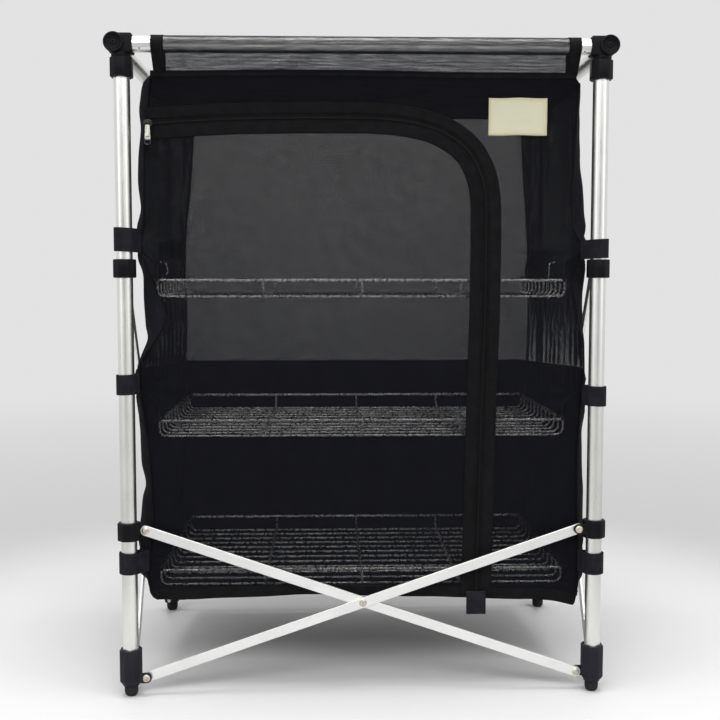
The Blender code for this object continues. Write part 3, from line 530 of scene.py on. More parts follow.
foot_hub = sleeve_body(FOOT_HUB_Z, FOOT_RIM_Z, arch_high=True, taper_h=0.0055, taper_in=0.0035)
foot_hub += lug(-1).put(shift(0, 0, FOOT_PIVOT_Z))
foot_hub += lug(-1).put(turn(90, 'Z'), shift(0, 0, FOOT_PIVOT_Z))
DUSTY_NYLON = moulded("dusty_black_nylon", (0.0165, 0.0158, 0.0205), 0.45)
RUBBER = moulded("black_rubber", (0.0210, 0.0205, 0.0220), 0.72, 0.00006, 900.0)
foot = turned([(0.0002, 0.0), (0.0036, 0.0001), (0.0056, 0.0008), (0.0070, 0.0021),
               (0.0078, 0.0040), (0.0082, 0.0062), (0.0082, 0.0106), (0.0079, 0.0112),
               (0.0079, 0.0118), (0.0082, 0.0123), (0.0080, 0.0129), (0.0060, 0.0131),
               (0.0059, 0.0180)], 48)
for sx, sy in CORNERS:
    corner = corner_name(sx, sy)
    make(f"foot_hub_moulding_{corner}", foot_hub.put(turn(HUB_TURN[(sx, sy)], 'Z'), at_leg(sx, sy)),
         [DUSTY_NYLON], nodes=[f"foot_hub_{corner}"])
    make(f"rubber_foot_{corner}", foot.put(at_leg(sx, sy)), [RUBBER], nodes=[f"foot_pad_{corner}"])

# Sliding collars: nylon sleeves that run on the legs as the frame folds. The lower ones hold the
# front and back braces, the upper ones the tall side braces.
LOWER_PIVOT_Z, UPPER_PIVOT_Z = 0.2027, 0.518
COLLAR_H = 0.022
collar = sleeve_body(-COLLAR_H / 2, COLLAR_H / 2, rim=0.0013) + lug(1)
for sx, sy in CORNERS:
    corner = corner_name(sx, sy)
    for level, z, facing in (("lower", LOWER_PIVOT_Z, 0 if sx < 0 else 180),
                             ("upper", UPPER_PIVOT_Z, 90 if sy < 0 else -90)):
        make(f"{level}_collar_moulding_{corner}", collar.put(turn(facing, 'Z'), at_leg(sx, sy, z)),
             [NYLON], nodes=[f"{level}_collar_{corner}"])

# Brace bars: flat aluminium bars with round ends, punched and riveted to the lugs, and crossing at
# a rivet in the middle. The rivets are brass with dull nickel over it and have a dimpled head.
BAR_H, BAR_T = 0.0122, 0.0032
BAR_OFF, BAR_GAP = 0.0019, 0.0003
HEAD_D = 0.0092
BAR_FINISH = along_lines("flat_bar_aluminium", (0.90, 0.90, 0.89), 0.30, 0.50, lines=1900.0)


def plated(name, base, roughness, scale, stops, polish, bump, strength=0.5):
    """Worn plating on metal: its colour and its polish vary in fine grains."""
    material, tree, shader = finish(name, base, roughness, Metallic=1.0)
    wear = grain(tree, coords(tree), scale, 5.0)
    feed(shader, "Base Color", shades(tree, wear, stops))
    feed(shader, "Roughness", ranged(tree, wear, *polish, 0.3, 0.7))
    bumped(tree, shader, wear, bump, strength)
    return material


RIVET_FINISH = plated("nickel_plated_rivet", (0.60, 0.55, 0.46), 0.34, 420.0,
                      [(0.35, (0.44, 0.38, 0.29)), (0.65, (0.68, 0.64, 0.56))],
                      (0.24, 0.50), 0.00005, 0.6)


def rivet_head():
    """A domed head on z = 0 with a shallow dimple, facing +Z."""
    r = HEAD_D / 2
    return turned([(0.0001, 0.0010), (r * 0.20, 0.0010), (r * 0.30, 0.0013), (r * 0.50, 0.0014),
                   (r * 0.75, 0.0011), (r * 0.93, 0.0006), (r, 0.0002), (r, -0.0002)], 32)


def brace_bar(half, side):
    """A bar along X with both end rivets, on the side of its pair's middle plane."""
    outline = round_end(half, BAR_H / 2, -90) + round_end(-half, BAR_H / 2, 90)
    bar = slab(outline, BAR_T, 0.0004)
    bar.marks = [(p[1], p[0]) for p in bar.points]
    bar = bar.put(turn(90, 'X'), shift(0, side * BAR_OFF, 0))
    head = rivet_head().with_look(1)
    for x in (-half, half):
        bar += head.put(turn(90 * side, 'X'), shift(x, side * BAR_GAP, 0))
        bar += head.put(turn(-90 * side, 'X'), shift(x, side * (LUG_OFF + LUG_T / 2), 0))
    return bar


SPAN_X = 2 * (LEG_X - PIVOT_OUT)
SPAN_Y = 2 * (LEG_Y - PIVOT_OUT)
for name, run, top_z, middle, spin in (
        ("front", SPAN_X, LOWER_PIVOT_Z, (0, -LEG_Y), 0),
        ("back", SPAN_X, LOWER_PIVOT_Z, (0, LEG_Y), 0),
        ("left", SPAN_Y, UPPER_PIVOT_Z, (-LEG_X, 0), 90),
        ("right", SPAN_Y, UPPER_PIVOT_Z, (LEG_X, 0), 90)):
    rise = top_z - FOOT_PIVOT_Z
    slope = math.degrees(math.atan2(rise, run))
    at = shift(middle[0], middle[1], (FOOT_PIVOT_Z + top_z) / 2)
    for suffix, side, tilt in (("rising", -1, -slope), ("falling", 1, slope)):
        bar = brace_bar(math.hypot(run, rise) / 2, side)
        make(f"bar_{name}_{suffix}", bar.put(turn(tilt, 'Y'), turn(spin, 'Z'), at),
             [BAR_FINISH, RIVET_FINISH], nodes=[f"brace_{name}_{suffix}"])
    outer = BAR_GAP + BAR_T
    crossing = rivet_head().put(turn(90, 'X'), shift(0, -outer, 0))
    crossing += rivet_head().put(turn(-90, 'X'), shift(0, outer, 0))
    make(f"bar_rivet_{name}", crossing.put(turn(spin, 'Z'), at), [RIVET_FINISH],
         nodes=[f"brace_rivet_{name}"])

# Wire trays: bright nickel-plated steel wire, a round rim with twelve floor wires bent up to it and
# spot-welded, and three thinner wires across them.
TRAY_X, TRAY_Y, TRAY_H = 0.248, 0.148, 0.0195
RIM_WIRE_R, FLOOR_WIRE_R, CROSS_WIRE_R = 0.002, 0.0015, 0.0016
TRAY_CORNER_R, FLOOR_BEND_R, CROSS_BEND_R = 0.006, 0.008, 0.0045
FLOOR_WIRES = 12
WIRE_FINISH = plated("nickel_plated_wire", (0.95, 0.94, 0.93), 0.24, 260.0,
                     [(0.32, (0.84, 0.83, 0.82)), (0.62, (0.97, 0.96, 0.95))],
                     (0.16, 0.40), 0.00003)


def bent(corners, radii, steps=7):
    """A path through corners, each rounded by its own radius; ends have none."""
    path = [Vector(corners[0])]
    for i in range(1, len(corners) - 1):
        here = Vector(corners[i])
        to_last = (Vector(corners[i - 1]) - here).normalized()
        to_next = (Vector(corners[i + 1]) - here).normalized()
        half = to_last.angle(to_next) / 2
        reach = radii[i - 1] / math.tan(half)
        centre = here + (to_last + to_next).normalized() * (radii[i - 1] / math.sin(half))
        start, end = here + to_last * reach - centre, here + to_next * reach - centre
        for s in range(steps + 1):
            path.append(centre + start.lerp(end, s / steps).normalized() * radii[i - 1])
    path.append(Vector(corners[-1]))
    return path


def along(path, radius, sides=12, closed=False):
    """A round wire or cord along a path."""
    count = len(path)
    rings, marks = [], []
    up = Vector((0, 0, 1))
    first = (Vector(path[1]) - Vector(path[0])).normalized()
    side = first.cross(up) if abs(first.dot(up)) < 0.9 else first.cross(Vector((0, 1, 0)))
    run = 0.0
    for i, point in enumerate(path):
        before = Vector(path[i - 1]) if (i or closed) else Vector(point)
        after = Vector(path[(i + 1) % count]) if (i < count - 1 or closed) else Vector(point)
        ahead = (after - before).normalized()
        side = (side - ahead * side.dot(ahead)).normalized()
        lift = ahead.cross(side)
        if i:
            run += (Vector(point) - Vector(path[i - 1])).length
        ring = []
        for k in range(sides):
            a = 2 * math.pi * k / sides
            off = side * (radius * math.cos(a)) + lift * (radius * math.sin(a))
            ring.append(Vector(point) + off)
            marks.append((radius * abs(a - math.pi), run))
        rings.append(ring)
    return rows_of(rings, closed=closed, marks=marks)


def bent_up(ends, z, bend_r, wire_r):
    """A wire of the tray whose two ends are bent up to the rim."""
    (ax, ay), (bx, by) = ends
    path = bent([(ax, ay, TRAY_H), (ax, ay, z), (bx, by, z), (bx, by, TRAY_H)], [bend_r, bend_r])
    return along(path, wire_r)


rim = []
corner_x, corner_y = TRAY_X - TRAY_CORNER_R, TRAY_Y - TRAY_CORNER_R
for cx, cy, start in ((1, 1, 0), (-1, 1, 90), (-1, -1, 180), (1, -1, 270)):
    for s in range(9):
        a = math.radians(start + 90 * s / 8)
        rim.append(Vector((cx * corner_x + TRAY_CORNER_R * math.cos(a),
                           cy * corner_y + TRAY_CORNER_R * math.sin(a), TRAY_H)))
tray = along(rim, RIM_WIRE_R, 14, closed=True)
for i in range(FLOOR_WIRES):
    y = -corner_y + 2 * corner_y * i / (FLOOR_WIRES - 1)
    tray += bent_up(((-TRAY_X, y), (TRAY_X, y)), 0, FLOOR_BEND_R, FLOOR_WIRE_R)
weld_z = FLOOR_WIRE_R + CROSS_WIRE_R - 0.0004
for x in (-0.120, 0.0, 0.120):
    tray += bent_up(((x, -TRAY_Y), (x, TRAY_Y)), weld_z, CROSS_BEND_R, CROSS_WIRE_R)
for level in ("top", "middle", "bottom"):
    low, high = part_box(f"tray_{level}")
    make(f"wire_tray_{level}", tray.put(shift(0, 0, high[2] - RIM_WIRE_R - TRAY_H)), [WIRE_FINISH],
         body=f"tray_{level}", nodes=[f"tray_{level}"])

# Net cover: black warp-knit net over the upper bays, plain black cloth below the gathered seam. The
# panels hang from the top rails and are pulled out to the legs by straps, so their seams and sides
# run in and out with height. All are placed by two surfaces: the front and back, and the sides.
COVER_X, COVER_Y = 0.2645, 0.1565
SEAM_Z, GATHER_Z, FLOOR_Z = 0.7475, 0.385, 0.1273
GATHER_RISE = 0.011
MIDDLE_X, WIDEST_X, TRAY_CLEAR_X = 0.2672, 0.2755, 0.2530
OUTLINE_END = -0.030
NET_T, CLOTH_T = 0.00012, 0.00035
KNIT_PITCH, WEAVE_PITCH = 0.0005, 0.00055
# The top edge is sewn lower along the sides than under the header.
SIDE_DROP = {-1: 0.0065, 1: 0.0085}
# Straps pull at three heights, and the trays hold the sides out within three ranges of height.
STRAP_Z = {-1: (0.5511, 0.3807, 0.1638), 1: (0.5408, 0.3654, 0.1598)}
TRAY_RANGES = ((0.474, 0.514), (0.304, 0.342), (0.122, 0.158))


def drawn(*points):
    """A smooth curve through (place, value) points."""
    points = sorted(points)
    at, values = [p[0] for p in points], [p[1] for p in points]
    last = len(at) - 1
    slopes = []
    for i in range(last + 1):
        a, b = max(i - 1, 0), min(i + 1, last)
        slopes.append((values[b] - values[a]) / (at[b] - at[a]))

    def value(x):
        x = min(max(x, at[0]), at[last])
        i = 0
        while i < last - 1 and x > at[i + 1]:
            i += 1
        run = at[i + 1] - at[i]
        t = (x - at[i]) / run
        return (values[i] * (2 * t ** 3 - 3 * t ** 2 + 1)
                + values[i + 1] * (3 * t ** 2 - 2 * t ** 3)
                + run * slopes[i] * (t ** 3 - 2 * t ** 2 + t)
                + run * slopes[i + 1] * (t ** 3 - t ** 2))
    return value


def eased(low, high, x):
    """0 below low, 1 above high, smooth between them."""
    t = min(max((x - low) / (high - low), 0.0), 1.0)
    return t * t * (3 - 2 * t)


# How far out the four corner seams stand at each height, and the sides' outlines near the front.
CORNER_SEAM = {
    (-1, -1): drawn((0.7475, 0.2510), (0.7166, 0.2537), (0.6816, 0.2578), (0.600, 0.2602),
                    (0.572, 0.2612), (0.562, 0.2640), (0.5402, 0.2646), (0.5152, 0.2561),
                    (0.4909, 0.2475), (0.4665, 0.2355), (0.4466, 0.2404), (0.4221, 0.2560),
                    (0.4086, 0.2654), (0.3941, 0.2692), (0.360, 0.2673), (0.3359, 0.2629),
                    (0.2847, 0.2576), (0.2417, 0.2558), (0.2122, 0.2551), (0.1764, 0.2592),
                    (0.1454, 0.2621), (0.122, 0.2570), (0.1147, 0.2504)),
    (1, -1): drawn((0.7475, 0.2595), (0.700, 0.2565), (0.640, 0.2535), (0.600, 0.2515),
                   (0.5700, 0.2525), (0.549, 0.2625), (0.532, 0.2640), (0.519, 0.2580),
                   (0.4997, 0.2525), (0.4784, 0.2575), (0.4459, 0.2625), (0.430, 0.2675),
                   (0.3915, 0.2695), (0.360, 0.2675), (0.300, 0.2635), (0.240, 0.2635),
                   (0.180, 0.2655), (0.1276, 0.2655), (0.1033, 0.2595)),
    (-1, 1): drawn((0.7475, 0.2375), (0.726, 0.2395), (0.660, 0.2435), (0.600, 0.2495),
                   (0.555, 0.2535), (0.510, 0.2535), (0.440, 0.2525), (0.400, 0.2545),
                   (0.385, 0.2550), (0.300, 0.2560), (0.1635, 0.2615), (0.113, 0.2545)),
    (1, 1): drawn((0.7475, 0.2445), (0.728, 0.2460), (0.660, 0.2495), (0.580, 0.2560),
                  (0.550, 0.2570), (0.510, 0.2570), (0.455, 0.2595), (0.420, 0.2585),
                  (0.385, 0.2575), (0.300, 0.2585), (0.1635, 0.2625), (0.113, 0.2565))}
SIDE_EDGE = {
    -1: drawn((0.7475, 0.2600), (0.7325, 0.2646), (0.7095, 0.2676), (0.685, 0.2667),
              (0.6237, 0.2710), (0.600, 0.2686), (0.587, 0.2682), (0.551, 0.2720),
              (0.5277, 0.2697), (0.5179, 0.2671), (0.4903, 0.2662), (0.4484, 0.2640),
              (0.4331, 0.2607), (0.4162, 0.2658), (0.4022, 0.2716), (0.390, 0.2755),
              (0.3475, 0.2755), (0.316, 0.2736), (0.280, 0.2725), (0.2547, 0.2672),
              (0.238, 0.2707), (0.213, 0.2735), (0.1477, 0.2745), (0.1324, 0.2634),
              (0.1156, 0.2607), (0.1102, 0.2533)),
    1: drawn((0.7475, 0.2610), (0.740, 0.2655), (0.7032, 0.2653), (0.642, 0.2671),
             (0.6144, 0.2706), (0.5664, 0.2730), (0.4619, 0.2723), (0.4305, 0.2712),
             (0.399, 0.2733), (0.3721, 0.2755), (0.3432, 0.2755), (0.324, 0.2737),
             (0.280, 0.2735), (0.2359, 0.2755), (0.1377, 0.2755), (0.128, 0.2711),
             (0.0987, 0.2651))}
FRONT_HEM = drawn((-COVER_X, 0.1147), (-0.2236, 0.1143), (-0.1906, 0.1156), (-0.1259, 0.1175),
                  (-0.0768, 0.1196), (-0.0486, 0.1193), (0.0449, 0.1159), (0.0832, 0.1155),
                  (0.1699, 0.1120), (0.2096, 0.1113), (0.2245, 0.1103), (0.2395, 0.1085),
                  (COVER_X, 0.1033))


def hem_z(x, y):
    """Height of the bottom hem all round."""
    if y < -COVER_Y + 0.001:
        return FRONT_HEM(x)
    corner = FRONT_HEM(-COVER_X if x < 0 else COVER_X)
    back = 0.1135 + 0.0015 * math.sin(21.0 * x)
    return corner + (back - corner) * eased(-COVER_Y, COVER_Y, y)


def soft(x, y, seed, size):
    """Smooth, steady noise from -1 to 1 whose lumps have a size in metres."""
    return noise.noise(Vector((x / size, y / size, seed)))


def fan(x, z, at, reach, spokes, seed):
    """Pull folds that fan out from a point where the cloth is held."""
    dx, dz = x - at[0], z - at[1]
    away = math.hypot(dx, dz)
    if away > 2.6 * reach or away < 1e-6:
        return 0.0
    wave = math.cos(spokes * math.atan2(dz, dx) + 1.3 * seed + 2.0 * soft(dx, dz, seed, 0.05))
    return wave * math.exp(-(away / reach) ** 2) * min(away / 0.020, 1.0)


def front_y(x, z, sy=-1):
    """The front (-1) or back (1) panel's surface."""
    seed = 3.7 if sy < 0 else 9.1
    ripple = 0.0011 * soft(x, z * 0.45, seed, 0.055) + 0.0007 * soft(x, z, seed + 5, 0.022)
    for sx in (-1, 1):
        ripple += 0.0013 * fan(x, z, (sx * 0.262, SEAM_Z), 0.055, 9, seed + sx)
        for level in STRAP_Z[sx]:
            ripple += 0.0016 * fan(x, z, (sx * 0.262, level), 0.050, 9, seed + sx + level)
    held = min((COVER_X - abs(x)) / 0.012, 1.0) * min(max(SEAM_Z - z, 0.0) / 0.008, 1.0)
    return sy * (COVER_Y - 0.0004 - ripple * max(held, 0.0))


def gather_z(y):
    """Height of the gathered seam between net and cloth, a little higher at the front."""
    return GATHER_Z + GATHER_RISE * eased(COVER_Y, -COVER_Y, y)


def side_x(sign, y, z):
    """The left (-1) or right (1) side's surface, with its pleats above the gathered seam."""
    if y < OUTLINE_END:
        seam, edge = CORNER_SEAM[(sign, -1)](z), SIDE_EDGE[sign](z)
        x = seam + (edge - seam) * math.sin(math.pi / 2 * min((COVER_Y + y) / 0.022, 1.0))
        x += (MIDDLE_X - edge) * eased(0.022, 0.110, COVER_Y + y)
    else:
        seam = CORNER_SEAM[(sign, 1)](z)
        x = MIDDLE_X - (MIDDLE_X - seam) * ((y - OUTLINE_END) / (COVER_Y - OUTLINE_END)) ** 1.6
    inwards = COVER_Y - abs(y)
    held = min(inwards / 0.010, 1.0) * min(max(SEAM_Z - z, 0.0) / 0.012, 1.0)
    seed = 20.0 + 7.0 * sign
    fold = 0.0016 * soft(y, z * 0.5, seed, 0.060) + 0.0009 * soft(y, z, seed + 3, 0.024)
    gather = gather_z(y)
    if z > gather:
        gathers = eased(gather + 0.115, gather + 0.010, z)
    else:
        gathers = 0.45 * eased(gather - 0.050, gather, z)
    pleat = math.cos(2 * math.pi * y / 0.025 + 2.6 * soft(y, 0.3 * z, seed + 8, 0.050))
    fold += 0.0040 * pleat * gathers * (0.75 + 0.5 * soft(y, z, seed + 9, 0.08))
    for sy in (-1, 1):
        for level in STRAP_Z[sign]:
            fold += 0.0022 * fan(y, z, (sy * COVER_Y, level), 0.052, 10, seed + sy + level)
    x += fold * held
    for low, high in TRAY_RANGES:
        if low < z < high and abs(y) < TRAY_Y + 0.001:
            x = max(x, TRAY_CLEAR_X)
    return sign * min(x, WIDEST_X)


def corner_drop(x, seam):
    """How far the top edge has come down at a place near its corner seam."""
    return SIDE_DROP[-1 if x < 0 else 1] * eased(0.0065, 0.0, abs(seam) - abs(x))


def grid(columns, rows, place, marks, keep=None):
    """A sheet of small squares: place and marks take (u, v) from 0 to 1."""
    points = [place(u / columns, v / rows) for v in range(rows + 1) for u in range(columns + 1)]
    flat = [marks(u / columns, v / rows) for v in range(rows + 1) for u in range(columns + 1)]
    faces = []
    for v in range(rows):
        for u in range(columns):
            a = v * (columns + 1) + u
            corners = (a, a + 1, a + columns + 2, a + columns + 1)
            x, z = (sum(points[c][axis] for c in corners) / 4 for axis in (0, 2))
            if keep is None or keep(x, z):
                faces.append(corners)
    used = sorted({i for face in faces for i in face})
    number = {old: new for new, old in enumerate(used)}
    return Blank([points[i] for i in used], [tuple(number[i] for i in face) for face in faces],
                 [flat[i] for i in used])


def measured(width, height):
    """Marks in metres over a sheet cut to a width and height."""
    return lambda u, v: (width * u, height * v)


def cloth(name, blank, look, thickness, nodes=()):
    """Make a sheet of cloth, with half of its thickness to each side of the blank."""
    piece = make(name, blank, [look], nodes=nodes, solid=False)
    layer = piece.modifiers.new("cloth", 'SOLIDIFY')
    layer.thickness = thickness
    layer.offset = 0.0
    return piece


def net_finish(name, hole, yarn=(0.0055, 0.0058, 0.0082), rows=0.045,
               stretch=((0.40, 0.90), (0.66, 1.02))):
    """Black net: dull polyester yarn with a little lint, open where the knit has its holes. Its rows
    vary a little, and stretch gives how wide the holes are drawn at some heights."""
    material, tree, shader = finish(name, yarn, 0.82, Specular_IOR_Level=0.12)
    lint = grain(tree, coords(tree), 38.0, 6.0, 0.7)
    knit = add(tree, "TexVoronoi", {"Vector": coords(tree, "UV"), "Scale": 1.0 / KNIT_PITCH,
                                    "Randomness": 0.55}, voronoi_dimensions='2D').outputs["Distance"]
    courses = grain(tree, coords(tree, "UV"), 1.0, 2.0, stretch=(45.0, 520.0, 1.0))
    height = add(tree, "SeparateXYZ", {0: coords(tree)}).outputs[2]
    # On the header sleeves these widths by height make painted highlights and a painted dark
    # reflection line where the rail shows through.
    low, high = stretch[0][0], stretch[-1][0]
    # A colour can't pass 1, so the ramp holds a quarter of each share.
    drawn_wide = shades(tree, ranged(tree, height, 0.0, 1.0, low, high),
                        [((z - low) / (high - low), (share / 4,) * 3) for z, share in stretch])
    uneven = ranged(tree, courses, 1.0 - rows, 1.0 + rows, 0.3, 0.7)
    wide = times(tree, times(tree, drawn_wide, 4.0 * hole), uneven)
    feed(shader, "Base Color", shades(tree, lint, [(0.30, yarn), (0.62, tinted(yarn, 1.3)),
                                                   (0.80, tinted(yarn, 1.8))]))
    feed(shader, "Alpha", calc(tree, 'GREATER_THAN', knit, wide))
    bumped(tree, shader, knit, 0.00006, 0.5)
    return material


def both_ways(tree):
    """How far along a piece's length and width a place is, in metres."""
    apart = add(tree, "SeparateXYZ", {0: coords(tree, "UV")})
    return apart.outputs[0], apart.outputs[1]


def ridges(tree, distance, pitch):
    """A wave along a distance, from one yarn or rib to the next."""
    return calc(tree, 'SINE', times(tree, distance, 2 * math.pi / pitch))


def cloth_finish(name, base):
    """Plain woven cloth: crossing yarns, with slubs and faint creases."""
    material, tree, shader = finish(name, base, 0.88, Specular_IOR_Level=0.12, Sheen_Weight=0.01,
                                    Sheen_Roughness=0.5)
    across, down = both_ways(tree)
    weave = times(tree, ridges(tree, across, WEAVE_PITCH), ridges(tree, down, WEAVE_PITCH))
    slubs = grain(tree, coords(tree), 55.0, 6.0, 0.65)
    mixed = plus(tree, slubs, times(tree, weave, 0.06))
    feed(shader, "Base Color", shades(tree, mixed, [(0.32, tinted(base, 0.8)),
                                                    (0.70, tinted(base, 1.45))]))
    bumped(tree, shader, plus(tree, weave, times(tree, slubs, 2.0)), 0.00009, 0.7)
    return material


SIDE_YARN = (0.0090, 0.0094, 0.0125)
NET = net_finish("black_front_net", 0.398, rows=0.09)
BACK_NET = net_finish("black_back_net", 0.212, yarn=(0.0060, 0.0064, 0.0125))
SIDE_NET = net_finish("black_side_net", 0.300, yarn=SIDE_YARN,
                      stretch=((0.40, 1.14), (0.47, 0.94), (0.66, 1.02)))
BED_NET = net_finish("black_side_net_bed", 0.300, yarn=SIDE_YARN,
                     stretch=((0.40, 1.90), (0.47, 0.94), (0.66, 1.02)))
CLOTH = cloth_finish("black_plain_cloth", (0.0050, 0.0052, 0.0070))

# Side panels: black net above and plain cloth below, joined at the gathered seam. The knit is as
# deep as its holes are wide, so a second bed of yarn lies just inside the first.
BED_IN = 0.00028


def side_place(sign, low, high, inset=0.0):
    """Places on a side panel between two edges, whose heights are given by the depth."""
    def place(u, v):
        y = -COVER_Y + 2 * COVER_Y * u
        z = low(y) + (high(y) - low(y)) * v
        return side_x(sign, y, z) - sign * inset, y, z
    return place


def side_top(sign):
    """The side's sewn top edge, as a height at each depth."""
    return lambda y: SEAM_Z - SIDE_DROP[sign]


def side_hem(sign, up=0.0):
    """The side's hem, or a line above it, as a height at each depth."""
    return lambda y: hem_z(sign, y) + up


for sign, side in ((-1, "left"), (1, "right")):
    upper, bed = (grid(100, 92, side_place(sign, gather_z, side_top(sign), inset),
                       measured(0.330, 0.3590)) for inset in (0.0, BED_IN))
    upper = cloth(f"side_net_{side}", upper, SIDE_NET, NET_T, [f"cover_side_{side}"])
    bed = cloth(f"side_net_bed_{side}", bed, SIDE_NET if sign < 0 else BED_NET, NET_T)
    lower = cloth(f"side_cloth_{side}",
                  grid(100, 70, side_place(sign, side_hem(sign), gather_z), measured(0.320, 0.271)),
                  CLOTH, CLOTH_T, [f"cover_side_{side}"])

# Back panel: the same two cloths, cut straight and sewn together level, hung from the back rail
# between the two back corner seams.
PANEL_W = 0.529
ACROSS = 130


def between_seams(sy, u, z):
    """Across the front or back panel, from its left seam to its right seam."""
    left, right = -CORNER_SEAM[(-1, sy)](z), CORNER_SEAM[(1, sy)](z)
    return left + (right - left) * u


def hem_edge(sy, u):
    """Height of the front or back hem at a share of the panel's width."""
    return hem_z(-COVER_X + 2 * COVER_X * u, sy * COVER_Y)


def gather_edge(sy, u):
    """Height of the seam between net and cloth, which is level here."""
    return GATHER_Z


def header_edge(sy, u):
    """Height of the seam under the header, which comes down at the corners."""
    x = between_seams(sy, u, SEAM_Z)
    return SEAM_Z - corner_drop(x, CORNER_SEAM[(-1 if x < 0 else 1, sy)](SEAM_Z))


def panel_place(sy, low, high):
    """Places on the front or back panel between two of its edges."""
    def place(u, v):
        bottom = low(sy, u)
        z = bottom + (high(sy, u) - bottom) * v
        x = between_seams(sy, u, z)
        return x, front_y(x, z, sy), z
    return place


back_net = cloth("back_net", grid(ACROSS, 92, panel_place(1, gather_edge, header_edge),
                                  measured(PANEL_W, 0.3635)), BACK_NET, NET_T, ["cover_back"])
back_cloth = cloth("back_cloth", grid(ACROSS, 70, panel_place(1, hem_edge, gather_edge),
                                      measured(PANEL_W, 0.271)), CLOTH, CLOTH_T, ["cover_back"])

# Front: one net from header to hem, cut along the zip. The part to the left of the zip is the door,
# which hangs from the left seam and is gathered towards it when the zip is open.
ZIP_POINTS = [(-0.2574, 0.6893), (-0.2538, 0.6895), (-0.2000, 0.6928), (-0.1528, 0.6952),
              (-0.0945, 0.6965), (-0.0360, 0.6970), (0.0220, 0.6960), (0.0667, 0.6903),
              (0.0992, 0.6790), (0.1260, 0.6590), (0.1409, 0.6327), (0.1471, 0.6049),
              (0.1484, 0.5600), (0.1482, 0.5166), (0.1476, 0.4600), (0.1461, 0.4102),
              (0.1442, 0.3300), (0.1425, 0.2500), (0.1407, 0.1674), (0.1396, 0.1150)]


def runs_of(line):
    """How far along a line each of its points lies."""
    runs = [0.0]
    for a, b in zip(line, line[1:]):
        runs.append(runs[-1] + math.dist(a, b))
    return runs


def smooth_line(points, step):
    """Evenly spaced points on a smooth line through flat (x, z) points."""
    runs = runs_of(points)
    x_at = drawn(*[(r, p[0]) for r, p in zip(runs, points)])
    z_at = drawn(*[(r, p[1]) for r, p in zip(runs, points)])
    count = max(int(round(runs[-1] / step)), 1)
    return [(x_at(runs[-1] * i / count), z_at(runs[-1] * i / count)) for i in range(count + 1)]


ZIP_LINE = smooth_line(ZIP_POINTS, 0.003)


def across_zip(x, z):
    """Distance from the zip line: positive on the cover's side, negative on the door's."""
    best, side = 1.0, 1.0
    for (ax, az), (bx, bz) in zip(ZIP_LINE, ZIP_LINE[1:]):
        dx, dz = bx - ax, bz - az
        t = min(max(((x - ax) * dx + (z - az) * dz) / (dx * dx + dz * dz), 0.0), 1.0)
        away = math.hypot(x - ax - t * dx, z - az - t * dz)
        if away < best:
            best = away
            side = 1.0 if dx * (z - az) - dz * (x - ax) > 0 else -1.0
    return best * side


def on_cover(x, z):
    """Whether a place on the front belongs to the cover; far from the zip it needs no measuring."""
    if x > 0.170 or z > 0.716:
        return True
    if x < 0.120 and z < 0.670:
        return False
    return across_zip(x, z) > 0


def on_door(x, z):
    """Whether a place on the front belongs to the door."""
    return not on_cover(x, z)


def draws_with_door(piece):
    """Give a piece of the door a mesh of its own."""
    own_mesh(piece)


whole_front = panel_place(-1, hem_edge, header_edge)
front_marks = measured(PANEL_W, 0.633)
cover_net = cloth("front_net", grid(ACROSS, 158, whole_front, front_marks, on_cover), NET, NET_T,
                  ["cover_front"])
door_net = cloth("door_net", grid(ACROSS, 158, whole_front, front_marks, on_door), NET, NET_T,
                 ["cover_door"])
draws_with_door(door_net)

# Top and floor panels: opaque black cloth between the side panels. The top one sags a little, and
# the bottom tray stands on the floor.
LEVEL_IN = 0.0006
FLOOR_TUCK = 0.0115


def level_place(z, sag, on_top):
    """Places on the top or floor panel, which follows the cover's edges and sags between them."""
    def place(u, v):
        y = (2 * v - 1) * (COVER_Y - LEVEL_IN)
        left, right = (side_x(sign, y, z - SIDE_DROP[sign] if on_top else z) for sign in (-1, 1))
        x = left + (right - left) * u
        drop = sag * (1 - (2 * u - 1) ** 4) * (1 - (2 * v - 1) ** 4)
        if on_top:
            drop += corner_drop(x, left if x < 0 else right)
        else:
            inwards = min(x - left, right - x, COVER_Y - abs(y))
            at_front = y < 0 and COVER_Y - abs(y) <= inwards
            low_edge = hem_z(x, -COVER_Y if at_front else y)
            drop += max(z - low_edge - FLOOR_TUCK, 0.0) * eased(0.024, 0.0, inwards)
        wrinkle = 0.0010 * soft(x, y, 41.0, 0.05) * min(u, v, 1 - u, 1 - v) * 8
        return x, y, z - drop + min(wrinkle, 0.0)
    return place


for name, node, z, sag, on_top, sewn_to in (
        ("top_cloth", "cover_top", SEAM_Z - 0.0004, 0.004, True, "side_net"),
        ("floor_cloth", "cover_floor", FLOOR_Z, 0.0006, False, "side_cloth")):
    panel = cloth(name, grid(100, 60, level_place(z, sag, on_top), measured(0.53, 0.314)), CLOTH,
                  CLOTH_T, [node])

# Header: the front and back nets are sewn round their rails as sleeves, bound at both ends, with a
# band over the seam where both layers meet the panel. The sleeve's holes are drawn wider and
# narrower in bands by height, so that the rail shows through as painted highlights below and above
# its middle and as a painted dark reflection line just above its middle.
HEADER_HIGHLIGHT_BANDS = ((0.7716, 1.0), (0.7735, 1.12), (0.7754, 1.34), (0.7768, 1.15), (0.7785, 0.90),
                  (0.7800, 0.80), (0.7812, 0.84), (0.7825, 1.04), (0.7888, 1.10))
HEADER_NET = net_finish("black_header_net", 0.365, (0.0060, 0.0062, 0.0120), 0.17, HEADER_HIGHLIGHT_BANDS)
SLEEVE_R = 0.0101
BINDING_W, BINDING_T = 0.0145, 0.0004
BINDING_OUT, BINDING_IN = 0.0003, 0.0142
BAND_T = 0.0006
TAPE_T = 0.0005


